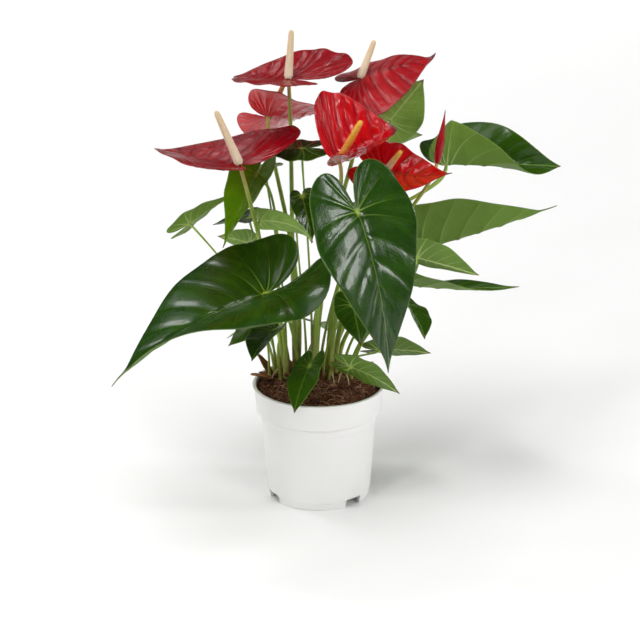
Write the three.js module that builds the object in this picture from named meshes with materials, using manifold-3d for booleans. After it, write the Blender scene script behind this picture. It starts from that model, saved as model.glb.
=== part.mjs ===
// A flamingo flower (anthurium) in a plain white nursery pot. Millimetres, +Z up. The part stands at z = 0,
// and its front, the side that most leaves and blooms turn to, looks towards -Y.
//
// Every leaf, and the coloured spathe of every bloom, is one heart-shaped blade of living sheet: a flat
// outline with curved side veins, which is bent, folded along its midrib and set on its stalk. The blade
// and its stalk are one solid. Stems stand in plain holes in the soil.
import * as THREE from 'three';
import Module from 'manifold-3d';
import { mergeVertices } from 'three/addons/utils/BufferGeometryUtils.js';

const wasm = await Module();
wasm.setup();

const DEG = Math.PI / 180;

// ---- Driving dimensions --------------------------------------------------------------------------------
const POT_X = -22;              // the pot's axis, so that the whole plant is centred on the origin
const POT_Y = 0;
const POT_HEIGHT = 106.5;
const RIM_RADIUS = 60;          // the nursery size that growers call 12 cm
const BAND_TOP_RADIUS = 58.4;
const BAND_FOOT_RADIUS = 57.2;
const BAND_FOOT_Z = 82;
const BODY_TOP_RADIUS = 52.3;
const BODY_FOOT_RADIUS = 47.2;
const FOOT_RADIUS = 45.6;
const FOOT_HEIGHT = 6;
const POT_WALL = 1.2;
const POT_SIDES = 32;
const NOTCH_ANGLES = [-62, 43, 118, 223];   // from the front, to the right
const NOTCH_WIDTH = 17;
const NOTCH_HEIGHT = 8;
const DRAIN_ANGLES = [45, 135, 225, 315];
const DRAIN_RADIUS = 4;
const DRAIN_CIRCLE = 22;

const FIT_GAP = 0.3;            // clearance between neighbouring solids
const STEM_GAP = 0.42;          // clearance round a stem in its hole, at its corners
const SOIL_EDGE_Z = 101;        // where the soil meets the pot's wall
const SOIL_CROWN = 5;           // how far the soil is heaped up in the middle
const SOIL_Z = 107;             // the top of the soil's heap, up to which every stem is straight
const HOLE_FLOOR_Z = 93;        // how deep the stems stand
const SHEATH_FOOT_Z = 100;

const BLADE_THICKNESS = 0.8;
const BLADE_STEPS = 24;         // how finely a blade's curves are summed up
const FOLD_REACH = 0.14;        // share of the half width over which the fold at the midrib is rounded
const VEIN_START = 0.46;        // share of the margin whose veins all leave the hub
const VEIN_CROWDING = 1.12;     // above 1, the veins leave the midrib closer together near the hub
const VEIN_BOW = 0.07;          // how far a side vein bows towards the hub
const WAVE_COUNT = 2.2;         // ripples of a margin between hub and tip
const WAVE_LAG = 2.1;           // how far the right margin's ripples lag behind, in radians
const LARGE_LEAF = 75;          // leaves longer than this are divided more finely

const STALK_SIDES = 5;
const STALK_RISE = 0.45;        // share of its span that a stem keeps upright above its root
const STALK_ARRIVAL = 0.18;     // share of its span over which a stem turns to its blade
const STALK_REACH = 1.1;        // how far a leaf stalk runs on past the middle of its blade
const LEAF_STALK = { slimmest: 1.1, stoutest: 2.1, perLength: 1 / 48, taper: 0.72 };
const BLOOM_STALK = { radius: 2.3, top: 1.7 };
const BUD_STALK = { radius: 2, top: 1.6 };
const HUB_GAP = 0.95;           // from a spathe's folded middle to its spadix and its stalk

const SPADIX_SIDES = 8;
const SPADIX_NECK = [0.35, 0.75];   // its first rings narrow to its seat
const SPADIX_TAPER = 0.3;       // how much slimmer it is at its tip
const SPADIX_TIP = 0.07;        // share of its length that the rounded tip takes
const FLORET_PITCH = 3.4;
const FLORET_HEIGHT = 0.55;
const BUD_SIDES = 10;
const BUD_PROFILE = [0.4, 0.68, 0.8, 0.8, 0.72, 0.56, 0.4, 0.24, 0.16, 0.096];  // foot to tip
const BUD_EDGE = 0.025;         // how much the rolled edge stands out from one side to the next
const SHEATH_STEPS = 5;
const SHEATH_SAG = 5;
const SHEATH_DISH = 1.2;        // how far its long edges stand above its middle

// Half outlines, from the notch behind the stalk round to the tip. Along x, -1 is the end of the rear
// lobe and +1 the tip; along y, 1 is half the blade's width.
const LEAF_EDGE = [
  [-0.30, 0.05], [-0.74, 0.17], [-0.98, 0.38], [-0.93, 0.63], [-0.58, 0.86], [0.0, 0.985], [0.15, 1.0],
  [0.32, 0.915], [0.49, 0.74], [0.64, 0.53], [0.78, 0.31], [0.89, 0.13], [0.96, 0.04], [1.0, 0.0],
];
const SPATHE_EDGE = [
  [-0.40, 0.04], [-0.82, 0.18], [-1.0, 0.41], [-0.95, 0.67], [-0.62, 0.90], [0.0, 1.0], [0.20, 0.975],
  [0.38, 0.87], [0.56, 0.69], [0.72, 0.48], [0.86, 0.25], [0.95, 0.09], [1.0, 0.0],
];
// Where the blade is divided: along the margin, and from the midrib out to the margin.
const LARGE_GRID = { along: [0, 0.12, 0.24, 0.35, 0.46, 0.58, 0.72, 0.87, 1], across: [0, 0.35, 0.7, 1] };
const SPATHE_GRID = { along: LARGE_GRID.along, across: [0, 0.12, 0.5, 1] };
const SMALL_GRID = { along: [0, 0.13, 0.27, 0.46, 0.62, 0.8, 1], across: [0, 0.5, 1] };

// ---- The plant, placed from the middle of the pot ------------------------------------------------------
// The crown stands in the rear half of the pot. The roots below are drawn together around it.
const CROWN = { x: -6, y: 25, wide: 0.85, deep: 0.42 };

// root: where the stem leaves the soil. hub: where the stalk meets the blade. yaw, pitch and roll turn the
// blade, whose tip points along yaw. length runs hub to tip, lobe from the hub back, width across both
// halves. droop curls the tip down, lift raises the rear lobes, fold and curl raise each half (left, right)
// at the midrib and out to the margin, twist turns the tip, and wave is the margin's ripple.
const LEAVES = {
  front_left: { root: [-28, -26], lean: [0, 24], hub: [-46, -78, 221], yaw: -155, pitch: -9, roll: 2,
    length: 156, width: 145, lobe: 60, droop: 26, lift: 50, fold: [28, 28], curl: [-60, -12], twist: 25,
    wave: 1.5 },
  front_centre: { root: [4, -34], hub: [33, -91, 300], yaw: -39, pitch: -64, roll: -6, length: 145,
    width: 111, lobe: 41, droop: 22, lift: 7, fold: [19, -6], curl: [9, -15], twist: -9, wave: 1.5 },
  right_upper: { root: [18, 6], lean: [-6, 0], rise: 0.8, hub: [115, 60, 294], yaw: 12, pitch: -2,
    roll: -8, length: 108, width: 96, lobe: 24, droop: 5, lift: 20, fold: [40, 58], curl: [-30, 30],
    twist: 100, wave: 1.5 },
  right_middle: { root: [28, 26], lean: [0, 10], hub: [90, 60, 212], yaw: 5, pitch: 14, roll: -10,
    length: 129, width: 90, lobe: 30, droop: -6, lift: 5, fold: [35, 85], curl: [0, 0], twist: 0,
    wave: 1.5 },
  right_lower: { root: [32, -22], lean: [6, -6], hub: [86, -35, 239], yaw: 15, pitch: -19, roll: -62,
    length: 62, width: 42, lobe: 20, droop: 5, lift: 5, fold: [35, 12], curl: [0, 0], twist: 0, wave: 1 },
  right_narrow: { root: [40, -12], lean: [6, 0], hub: [75, 12, 196], yaw: -1, pitch: -6, roll: -14,
    length: 101, width: 62, lobe: 36, droop: -10, lift: 5, fold: [-1, 29], curl: [-8, 11], twist: 37,
    wave: 1 },
  right_small: { root: [42, -28], lean: [8, 0], hub: [76, -44, 199], yaw: -50, pitch: -22, roll: -39,
    length: 42, width: 50, lobe: 15, droop: 29, lift: 5, fold: [17, 16], curl: [0, 0], twist: 16,
    wave: 1 },
  low_right_front: { root: [18, -44], hub: [28, -46, 140], yaw: -6, pitch: -18, roll: -39, length: 51,
    width: 44, lobe: 18, droop: 21, lift: 5, fold: [1, 7], curl: [-4, 6], twist: -18, wave: 1 },
  low_right_back: { root: [36, 22], hub: [55, 30, 127], yaw: 5, pitch: 1, roll: -36, length: 48, width: 45,
    lobe: 17, droop: 14, lift: 5, fold: [7, 11], curl: [3, 5], twist: -21, wave: 1 },
  low_front: { root: [-4, -46], hub: [-8, -40, 138], yaw: -123, pitch: -42, roll: 24, length: 46,
    width: 42, lobe: 16, droop: 17, lift: 5, fold: [7, 5], curl: [0, 0], twist: -22, wave: 1 },
  low_left_small: { root: [-34, -34], lean: [-6, -8], hub: [-38, -69, 184], yaw: -121, pitch: -7, roll: 22,
    length: 48, width: 47, lobe: 16, droop: 23, lift: -2, fold: [14, 8], curl: [9, 7], twist: -4,
    wave: 1 },
  low_left_back: { root: [-46, -8], hub: [-54, -22, 172], yaw: -163, pitch: -29, roll: -4, length: 34,
    width: 34, lobe: 12, droop: 10, lift: 5, fold: [2, 9], curl: [0, 0], twist: -7, wave: 0.5 },
  yellow_green: { root: [-34, 8], lean: [-4, -4], hub: [-55, 20, 298], yaw: -143, pitch: -56, roll: 9,
    length: 73, width: 65, lobe: 26, droop: 4, lift: 5, fold: [9, 14], curl: [2, 13], twist: 19, wave: 1 },
  left_away: { root: [-40, 4], lean: [-10, 4], hub: [-116, 34, 247], yaw: 20, pitch: 32, roll: -62,
    length: 52, width: 34, lobe: 22, droop: 8, lift: 5, fold: [30, 10], curl: [-11, -13], twist: 23,
    wave: 1 },
  left_inner: { root: [-40, 20], hub: [-62, 24, 232], yaw: 170, pitch: 15, roll: 60, length: 30, width: 30,
    lobe: 8, droop: 15, lift: 5, fold: [10, 10], curl: [0, 0], twist: 0, wave: 0.5 },
  dark_inner: { root: [-32, 22], lean: [6, -10], hub: [-63, 52, 246], yaw: 165, pitch: -8, roll: 0,
    length: 36, width: 44, lobe: 17, droop: 15, lift: 5, fold: [8, 8], curl: [0, 0], twist: 0, wave: 1 },
  centre_curved: { root: [-14, -8], lean: [-4, -4], hub: [-53, 10, 258], yaw: -20, pitch: 8, roll: -70,
    length: 74, width: 25, lobe: 6, droop: 58, lift: 5, fold: [10, 10], curl: [0, 0], twist: 0,
    wave: 0.5 },
  behind_left_bloom: { root: [0, 24], lean: [0, 0], hub: [-15, 8, 326], yaw: 185, pitch: -1, roll: 5,
    length: 40, width: 50, lobe: 22, droop: 2, lift: 5, fold: [-15, 5], curl: [0, 0], twist: 0, wave: 1 },
  edge_on: { root: [-28, 14], lean: [2, 10], hub: [-48, 50, 295], yaw: 100, pitch: -22, roll: 0,
    length: 36, width: 34, lobe: 18, droop: 10, lift: 5, fold: [8, 8], curl: [0, 0], twist: 0, wave: 0.5 },
  rear_right_top: { root: [8, 26], lean: [10, -6], hub: [64, 84, 328], yaw: 0, pitch: 52, roll: -75,
    length: 50, width: 64, lobe: 16, droop: 0, lift: 5, fold: [10, 20], curl: [0, 0], twist: 0, wave: 1 },
  pale_right: { root: [22, 18], lean: [16, 10], rise: 0.7, hub: [70, 116, 301], yaw: 10, pitch: 10,
    roll: -45, length: 26, width: 34, lobe: 12, droop: 10, lift: 5, fold: [8, 8], curl: [0, 0], twist: 0,
    wave: 0.5 },
  behind_centre: { root: [-6, -6], lean: [0, 0], hub: [-15, 5, 283], yaw: -60, pitch: -60, roll: 0,
    length: 44, width: 30, lobe: 6, droop: 12, lift: 5, fold: [12, 12], curl: [0, 0], twist: 0, wave: 1 },
  centre_low: { root: [12, -26], lean: [0, 0], hub: [30, -26, 191], yaw: -70, pitch: -50, roll: 0,
    length: 38, width: 38, lobe: 14, droop: 12, lift: 5, fold: [8, 8], curl: [0, 0], twist: 0, wave: 0.5 },
  back_left: { root: [-26, 34], hub: [-57, 66, 188], yaw: 140, pitch: -22, roll: 5, length: 84, width: 66,
    lobe: 28, droop: 30, lift: 10, fold: [12, 12], curl: [-8, -8], twist: 8, wave: 1 },
  back_right: { root: [18, 42], lean: [12, -4], hub: [46, 88, 186], yaw: 62, pitch: -14, roll: -6,
    length: 96, width: 78, lobe: 34, droop: 30, lift: 10, fold: [14, 14], curl: [-8, -8], twist: -8,
    wave: 1.5 },
  back_centre: { root: [0, 38], hub: [14, 74, 248], yaw: 98, pitch: -18, roll: 0, length: 96, width: 72,
    lobe: 33, droop: 35, lift: 10, fold: [14, 14], curl: [-8, -8], twist: 6, wave: 1.5 },
  back_low_left: { root: [-38, 30], hub: [-50, 54, 142], yaw: 150, pitch: -15, roll: 0, length: 46,
    width: 40, lobe: 16, droop: 25, lift: 5, fold: [8, 8], curl: [0, 0], twist: 0, wave: 0.5 },
  back_low_right: { root: [-6, 48], hub: [2, 60, 142], yaw: 75, pitch: -20, roll: 0, length: 48, width: 42,
    lobe: 17, droop: 25, lift: 5, fold: [8, 8], curl: [0, 0], twist: 0, wave: 0.5 },
};

// A bloom's spadix leaves the hub along its own yaw and pitch.
const BLOOMS = {
  bloom_top: { root: [-18, 16], lean: [-4, 10], hub: [-27, 42, 380], yaw: 147, pitch: -3, roll: -3,
    length: 57, width: 122, lobe: 46, droop: 8, lift: 5, fold: [14, 10], curl: [0, 0], twist: 0, wave: 1,
    spadix: { yaw: 75, pitch: 75, length: 42, radius: 3.6 } },
  bloom_left: { root: [-28, 0], lean: [-14, -14], hub: [-69, -30, 323], yaw: 134, pitch: -4, roll: -15,
    length: 106, width: 140, lobe: 26, droop: 4, lift: 9, fold: [24, 4], curl: [13, -3], twist: 15,
    wave: 1, spadix: { yaw: 150, pitch: 62, length: 50, radius: 3.8 } },
  bloom_back: { root: [-16, 30], lean: [10, 10], hub: [-46, 102, 326], yaw: 8, pitch: -14, roll: -47,
    length: 68, width: 88, lobe: 26, droop: -55, lift: 30, fold: [6, 13], curl: [-5, -24], twist: 30,
    wave: 1, spadix: { yaw: 30, pitch: 60, length: 38, radius: 2.8 } },
  bloom_right: { root: [2, 14], lean: [-2, 4], hub: [37, 60, 375], yaw: 2, pitch: 19, roll: 2, length: 66,
    width: 112, lobe: 23, droop: 8, lift: 3, fold: [-3, -11], curl: [-12, -19], twist: 7, wave: 1,
    spadix: { yaw: 40, pitch: 62, length: 35, radius: 3.4 } },
  bloom_centre: { root: [4, -18], hub: [18, -18, 323], yaw: 5, pitch: 16, roll: 20, length: 57, width: 126,
    lobe: 12, droop: -30, lift: 3, fold: [45, 46], curl: [0, 0], twist: 0, wave: 1,
    spadix: { yaw: -34, pitch: 60, length: 45, radius: 3.4 } },
  bloom_low: { root: [20, -8], hub: [59, 4, 306], yaw: -10, pitch: -14, roll: 1, length: 59, width: 88,
    lobe: 30, droop: -31, lift: 3, fold: [15, -8], curl: [9, -4], twist: -15, wave: 1,
    spadix: { yaw: -10, pitch: 54, length: 23, radius: 2.9 } },
};
const BUD = { root: [25, 9], foot: [105, 20, 308], top: [109, 21, 333], tip: [112, 22, 357], radius: 4.4 };
// Dry brown sheaths that once wrapped the young stems.
const SHEATHS = {
  sheath_left: { root: [-34, -18], yaw: 208, pitch: 31, length: 34, width: 7 },
  sheath_upright: { root: [-44, 12], yaw: 150, pitch: 62, length: 26, width: 7 },
  sheath_right: { root: [46, -6], yaw: 20, pitch: 52, length: 24, width: 7 },
};

// ---- Curves and blades ---------------------------------------------------------------------------------
const clamp = THREE.MathUtils.clamp;
const smooth = THREE.MathUtils.smoothstep;

// A point on the outline, by even share of its listed points.
function outline(edge, share) {
  const last = edge.length - 1;
  const t = clamp(share, 0, 1) * last;
  const i = Math.min(Math.floor(t), last - 1);
  const f = t - i;
  const before = (k, n) => 2 * edge[k][n] - edge[k === 0 ? 1 : last - 1][n];
  const at = (k, n) => (k < 0 ? before(0, n) : k > last ? before(last, n) : edge[k][n]);
  return [0, 1].map((n) => {
    const [a, b, c, d] = [at(i - 1, n), at(i, n), at(i + 1, n), at(i + 2, n)];
    return 0.5 * (2 * b + (c - a) * f + (2 * a - 5 * b + 4 * c - d) * f * f + (3 * b - a - 3 * c + d) * f ** 3);
  });
}

// The flat point at one share along the margin and one share of the side vein that ends there.
function flatPoint(blade, edge, along, across) {
  const [ex, ey] = outline(edge, along);
  const mx = ex * (ex < 0 ? blade.lobe : blade.length);
  const my = ey * blade.width / 2;
  const start = blade.length * clamp((along - VEIN_START) / (1 - VEIN_START), 0, 1) ** VEIN_CROWDING;
  const bowed = smooth(along, 0.2, 0.5) * (1 - smooth(along, 0.85, 1));
  const bow = VEIN_BOW * bowed * 4 * across * (1 - across) * Math.hypot(mx - start, my);
  return [start + across * (mx - start) - bow, across * my];
}

// Bends a flat point of one side (+1 left, -1 right) and sets it in the plant.
function bladePoint(blade, x, y, side) {
  const half = blade.width / 2;
  const slope = (u) => (u >= 0 ? -blade.droop * u / blade.length : blade.lift * u / blade.lobe) * DEG;
  let [forward, rise] = [0, 0];
  for (let k = 0; k < BLADE_STEPS; k += 1) {
    const a = slope(x * (k + 0.5) / BLADE_STEPS);
    forward += Math.cos(a) * x / BLADE_STEPS;
    rise += Math.sin(a) * x / BLADE_STEPS;
  }
  const n = side > 0 ? 0 : 1;
  let [out, up] = [0, 0];
  for (let k = 0; k < BLADE_STEPS; k += 1) {
    const t = y * (k + 0.5) / BLADE_STEPS;
    const a = (blade.fold[n] * clamp(t / (FOLD_REACH * half), 0, 1) + blade.curl[n] * t / half) * DEG;
    out += Math.cos(a) * y / BLADE_STEPS;
    up += Math.sin(a) * y / BLADE_STEPS;
  }
  up += blade.wave * (y / half) ** 2 * Math.sin(2 * Math.PI * WAVE_COUNT * x / blade.length + WAVE_LAG * n);
  const turn = blade.twist * DEG * clamp(x / blade.length, 0, 1);
  const ly = side * out * Math.cos(turn) - up * Math.sin(turn);
  const lz = side * out * Math.sin(turn) + up * Math.cos(turn);
  const a = slope(x);
  const local = new THREE.Vector3(forward - Math.sin(a) * lz, ly, rise + Math.cos(a) * lz);
  return local.applyMatrix4(bladeFrame(blade));
}

// The blade's own axes: x to the tip, z up out of its glossy face.
function bladeFrame(blade) {
  const turn = new THREE.Euler(blade.roll * DEG, -blade.pitch * DEG, blade.yaw * DEG, 'ZYX');
  return new THREE.Matrix4().makeRotationFromEuler(turn).setPosition(...blade.hub);
}

const bladeUp = (blade) => new THREE.Vector3().setFromMatrixColumn(bladeFrame(blade), 2);

// A closed geometry from points and triangles that share them.
function solid(points, triangles) {
  const geometry = new THREE.BufferGeometry();
  geometry.setAttribute('position', new THREE.Float32BufferAttribute(points.flatMap((p) => p.toArray()), 3));
  geometry.setIndex(triangles.flat());
  return geometry;
}

// Gives an open sheet its thickness. Both faces are split into triangles alike.
function thicken(points, triangles, thickness) {
  const normals = points.map(() => new THREE.Vector3());
  const edges = new Map();
  for (const [a, b, c] of triangles) {
    const face = new THREE.Triangle(points[a], points[b], points[c]);
    const normal = face.getNormal(new THREE.Vector3()).multiplyScalar(face.getArea());
    for (const [i, j] of [[a, b], [b, c], [c, a]]) {
      normals[i].add(normal);
      if (!edges.delete(`${j},${i}`)) edges.set(`${i},${j}`, [i, j]);
    }
  }
  normals.forEach((n) => n.setLength(thickness / 2));
  const upper = points.map((p, i) => p.clone().add(normals[i]));
  const lower = points.map((p, i) => p.clone().sub(normals[i]));
  const n = points.length;
  const faces = triangles.flatMap(([a, b, c]) => [[a, b, c], [n + a, n + c, n + b]]);
  for (const [i, j] of edges.values()) faces.push([j, i, n + i], [j, n + i, n + j]);
  return solid([...upper, ...lower], faces);
}

function bladeSolid(blade, edge, grid) {
  const points = [];
  const known = new Map();
  const index = (p) => {
    const key = p.toArray().map((v) => v.toFixed(2)).join();
    if (!known.has(key)) known.set(key, points.push(p) - 1);
    return known.get(key);
  };
  const triangles = [];
  for (const side of [1, -1]) {
    const rows = grid.along.map((along) => grid.across.map((across) => {
      const [x, y] = flatPoint(blade, edge, along, across);
      return index(bladePoint(blade, x, y, side));
    }));
    for (let i = 1; i < rows.length; i += 1) {
      for (let j = 1; j < rows[i].length; j += 1) {
        const [a, b, c, d] = [rows[i - 1][j - 1], rows[i][j - 1], rows[i][j], rows[i - 1][j]];
        const pair = side > 0 ? [[a, b, c], [a, c, d]] : [[a, c, b], [a, d, c]];
        triangles.push(...pair.filter((t) => new Set(t).size === 3));
      }
    }
  }
  return thicken(points, triangles, BLADE_THICKNESS);
}

// A closed tube through the given points. relief adds to the radius at a ring and a side.
function tube(points, radii, sides, relief = () => 0) {
  const path = points.length;
  const ahead = points.map((p, i) => points[Math.min(i + 1, path - 1)].clone().sub(points[Math.max(i - 1, 0)]));
  ahead.forEach((t) => t.normalize());
  let across = new THREE.Vector3(1, 0, 0);
  const vertices = [];
  points.forEach((p, i) => {
    across = across.clone().addScaledVector(ahead[i], -across.dot(ahead[i])).normalize();
    const third = new THREE.Vector3().crossVectors(ahead[i], across);
    for (let k = 0; k < sides; k += 1) {
      const a = 2 * Math.PI * k / sides;
      const r = radii[i] + relief(i, k);
      vertices.push(p.clone().addScaledVector(across, r * Math.cos(a)).addScaledVector(third, r * Math.sin(a)));
    }
  });
  const first = vertices.push(points[0].clone()) - 1;
  const last = vertices.push(points[path - 1].clone()) - 1;
  const triangles = [];
  for (let k = 0; k < sides; k += 1) {
    const m = (k + 1) % sides;
    triangles.push([first, m, k], [last, (path - 1) * sides + k, (path - 1) * sides + m]);
    for (let i = 0; i < path - 1; i += 1) {
      const [a, b, c, d] = [i * sides + k, i * sides + m, (i + 1) * sides + m, (i + 1) * sides + k];
      triangles.push([a, b, c], [a, c, d]);
    }
  }
  return solid(vertices, triangles);
}

// ---- Joining and cutting -------------------------------------------------------------------------------
function toManifold(geometry) {
  const bare = new THREE.BufferGeometry();
  bare.setAttribute('position', geometry.getAttribute('position'));
  bare.setIndex(geometry.getIndex());
  const merged = mergeVertices(bare, 1e-4);
  const vertProperties = new Float32Array(merged.getAttribute('position').array);
  const triVerts = new Uint32Array(merged.getIndex().array);
  return new wasm.Manifold(new wasm.Mesh({ numProp: 3, vertProperties, triVerts }));
}

function toGeometry(manifold) {
  const { vertProperties, triVerts } = manifold.getMesh();
  const geometry = new THREE.BufferGeometry();
  geometry.setAttribute('position', new THREE.Float32BufferAttribute(vertProperties, 3));
  geometry.setIndex([...triVerts]);
  return geometry;
}

const join = (a, b) => toGeometry(toManifold(a).add(toManifold(b)));
const cut = (a, tools) => (
  toGeometry(tools.reduce((left, tool) => left.subtract(toManifold(tool)), toManifold(a)))
);

// ---- Pot and soil --------------------------------------------------------------------------------------
function lathe(profile) {
  const outlinePoints = profile.map(([r, z]) => new THREE.Vector2(r, z));
  return new THREE.LatheGeometry(outlinePoints, POT_SIDES).rotateX(Math.PI / 2);
}

function potGeometry() {
  const inside = (r) => r - POT_WALL;
  const floor = FOOT_HEIGHT - POT_WALL;
  const wall = lathe([
    [0, floor], [FOOT_RADIUS - 3.2, floor], [FOOT_RADIUS - 3.2, 0], [FOOT_RADIUS - 0.4, 0],
    [FOOT_RADIUS, 0.8], [FOOT_RADIUS + 0.4, FOOT_HEIGHT], [BODY_FOOT_RADIUS - 0.5, FOOT_HEIGHT + 0.6],
    [BODY_FOOT_RADIUS, FOOT_HEIGHT + 3], [BODY_TOP_RADIUS, BAND_FOOT_Z - 2],
    [BAND_FOOT_RADIUS - 1.2, BAND_FOOT_Z - 1], [BAND_FOOT_RADIUS, BAND_FOOT_Z + 0.6],
    [BAND_TOP_RADIUS, POT_HEIGHT - 2.4], [RIM_RADIUS, POT_HEIGHT - 1.8], [RIM_RADIUS, POT_HEIGHT - 0.5],
    [RIM_RADIUS - 0.6, POT_HEIGHT], [inside(BAND_TOP_RADIUS) + 0.2, POT_HEIGHT],
    [inside(BAND_TOP_RADIUS), POT_HEIGHT - 1], [inside(BAND_FOOT_RADIUS), BAND_FOOT_Z + 1],
    [inside(BODY_TOP_RADIUS), BAND_FOOT_Z - 1.6], [inside(BODY_FOOT_RADIUS), FOOT_HEIGHT + 3],
    [inside(BODY_FOOT_RADIUS) - 1.5, FOOT_HEIGHT], [0, FOOT_HEIGHT], [0, floor],
  ]);
  const notches = NOTCH_ANGLES.map((angle) => new THREE.BoxGeometry(NOTCH_WIDTH, 12, 2 * NOTCH_HEIGHT)
    .translate(0, -FOOT_RADIUS, 0).rotateZ(angle * DEG));
  const drains = DRAIN_ANGLES.map((angle) => new THREE.CylinderGeometry(DRAIN_RADIUS, DRAIN_RADIUS, 20, 10)
    .rotateX(Math.PI / 2).translate(DRAIN_CIRCLE, 0, FOOT_HEIGHT).rotateZ(angle * DEG));
  return cut(wall, [...notches, ...drains]);
}

// Height of the soil's surface: heaped in the middle, with coarse clods.
function soilHeight(x, y) {
  const share = Math.hypot(x, y) / BAND_FOOT_RADIUS;
  const clods = Math.sin(0.31 * x + 1.3) * Math.cos(0.27 * y) + 0.6 * Math.sin(0.52 * y - 0.44 * x);
  return SOIL_EDGE_Z + SOIL_CROWN * (1 - share ** 2) + 0.7 * clods;
}

function soilGeometry(stems) {
  const wallRadius = (r) => r - POT_WALL - FIT_GAP;
  const sectors = POT_SIDES / 2;
  const turn = Math.PI / POT_SIDES;
  const rings = [
    ...[0.3, 0.6, 0.84].map((share) => ({ r: share * wallRadius(BAND_FOOT_RADIUS), top: true })),
    { r: wallRadius(BAND_TOP_RADIUS) - 1.2, top: true },
    { r: wallRadius(BAND_FOOT_RADIUS) - 1.2, z: BAND_FOOT_Z + 2 },
    { r: wallRadius(BODY_TOP_RADIUS) - 1.1, z: BAND_FOOT_Z - 2 },
    { r: wallRadius(BODY_FOOT_RADIUS) - 1.6, z: FOOT_HEIGHT + 4 },
    { r: wallRadius(BODY_FOOT_RADIUS) - 5, z: FOOT_HEIGHT + FIT_GAP },
  ];
  const points = [new THREE.Vector3(0, 0, soilHeight(0, 0))];
  for (const { r, z, top } of rings) {
    for (let k = 0; k < sectors; k += 1) {
      const a = 2 * Math.PI * k / sectors + turn;
      const [x, y] = [r * Math.cos(a), r * Math.sin(a)];
      points.push(new THREE.Vector3(x, y, top ? soilHeight(x, y) : z));
    }
  }
  const bottom = points.push(new THREE.Vector3(0, 0, FOOT_HEIGHT + FIT_GAP)) - 1;
  const triangles = [];
  for (let k = 0; k < sectors; k += 1) {
    const m = (k + 1) % sectors;
    const at = (ring, n) => 1 + ring * sectors + n;
    triangles.push([0, at(0, k), at(0, m)], [bottom, at(rings.length - 1, m), at(rings.length - 1, k)]);
    for (let i = 1; i < rings.length; i += 1) {
      triangles.push([at(i - 1, k), at(i, k), at(i, m)], [at(i - 1, k), at(i, m), at(i - 1, m)]);
    }
  }
  const holes = stems.map(({ root, radius }) => {
    const r = radius + STEM_GAP;
    const ends = [HOLE_FLOOR_Z, SOIL_Z + 3].map((z) => new THREE.Vector3(...inCrown(root), z));
    return tube(ends, [r, r], STALK_SIDES);
  });
  const pockets = Object.values(SHEATHS).map((sheath) => sheathGeometry(sheath, FIT_GAP));
  return cut(solid(points, triangles), [...holes, ...pockets]);
}

// ---- Leaves, blooms, bud and sheaths -------------------------------------------------------------------
// Where a root really stands: all are drawn together around the plant's crown.
const inCrown = ([x, y]) => [CROWN.x + CROWN.wide * x, CROWN.y + CROWN.deep * y];

// A stem's path: straight out of its hole, then in one curve up to its end, which it meets along a normal.
// lean draws its lower half aside, and rise is how long it keeps upright.
function stemPath({ root, lean = [0, 0], rise = STALK_RISE }, end, normal, steps) {
  const start = new THREE.Vector3(...inCrown(root), SOIL_Z);
  const span = start.distanceTo(end);
  const curve = new THREE.CubicBezierCurve3(
    start, start.clone().add(new THREE.Vector3(...lean, rise * span)),
    end.clone().addScaledVector(normal, -STALK_ARRIVAL * span), end,
  );
  return [new THREE.Vector3(...inCrown(root), HOLE_FLOOR_Z + FIT_GAP), ...curve.getPoints(steps)];
}

const taper = (count, from, to) => (
  Array.from({ length: count }, (_, i) => from + (to - from) * i / (count - 1))
);

function leafStem({ root, length }) {
  const radius = clamp(length * LEAF_STALK.perLength, LEAF_STALK.slimmest, LEAF_STALK.stoutest);
  return { root, radius, top: LEAF_STALK.taper * radius };
}

const bloomStem = ({ root }) => ({ root, ...BLOOM_STALK });
const budStem = { root: BUD.root, ...BUD_STALK };

function leafGeometry(leaf) {
  const large = leaf.length > LARGE_LEAF;
  const up = bladeUp(leaf);
  const { radius, top } = leafStem(leaf);
  const end = new THREE.Vector3(...leaf.hub).addScaledVector(up, STALK_REACH);
  const path = stemPath(leaf, end, up, large ? 8 : 6);
  const stalk = tube(path, taper(path.length, radius, top), STALK_SIDES);
  return join(bladeSolid(leaf, LEAF_EDGE, large ? LARGE_GRID : SMALL_GRID), stalk);
}

function peduncleGeometry(bloom) {
  const up = bladeUp(bloom);
  const { radius, top } = bloomStem(bloom);
  const end = new THREE.Vector3(...bloom.hub).addScaledVector(up, -BLADE_THICKNESS / 2 - HUB_GAP);
  const path = stemPath(bloom, end, up, 9);
  return tube(path, taper(path.length, radius, top), STALK_SIDES);
}

// The spadix: a tapering rod covered with florets, raised in a chequer of bumps.
function spadixGeometry(bloom) {
  const { yaw, pitch, length, radius } = bloom.spadix;
  const rings = Math.round(length / FLORET_PITCH);
  const [y, p] = [yaw * DEG, pitch * DEG];
  const axis = new THREE.Vector3(Math.cos(p) * Math.cos(y), Math.cos(p) * Math.sin(y), Math.sin(p));
  const up = bladeUp(bloom);
  const seat = new THREE.Vector3(...bloom.hub).addScaledVector(up, BLADE_THICKNESS / 2 + HUB_GAP);
  const points = [];
  const radii = [];
  for (let i = 0; i <= rings; i += 1) {
    const share = i / rings;
    points.push(seat.clone().addScaledVector(axis, share * length));
    const beyond = Math.max((share - 1 + SPADIX_TIP) / SPADIX_TIP, 0);
    const tip = Math.sqrt(Math.max(1 - beyond ** 2, 0.08));
    radii.push(radius * (1 - SPADIX_TAPER * share) * tip * (SPADIX_NECK[i] ?? 1));
  }
  const floret = (ring, side) => (ring > 1 && ring < rings && (ring + side) % 2 === 0 ? FLORET_HEIGHT : 0);
  return tube(points, radii, SPADIX_SIDES, floret);
}

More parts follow.
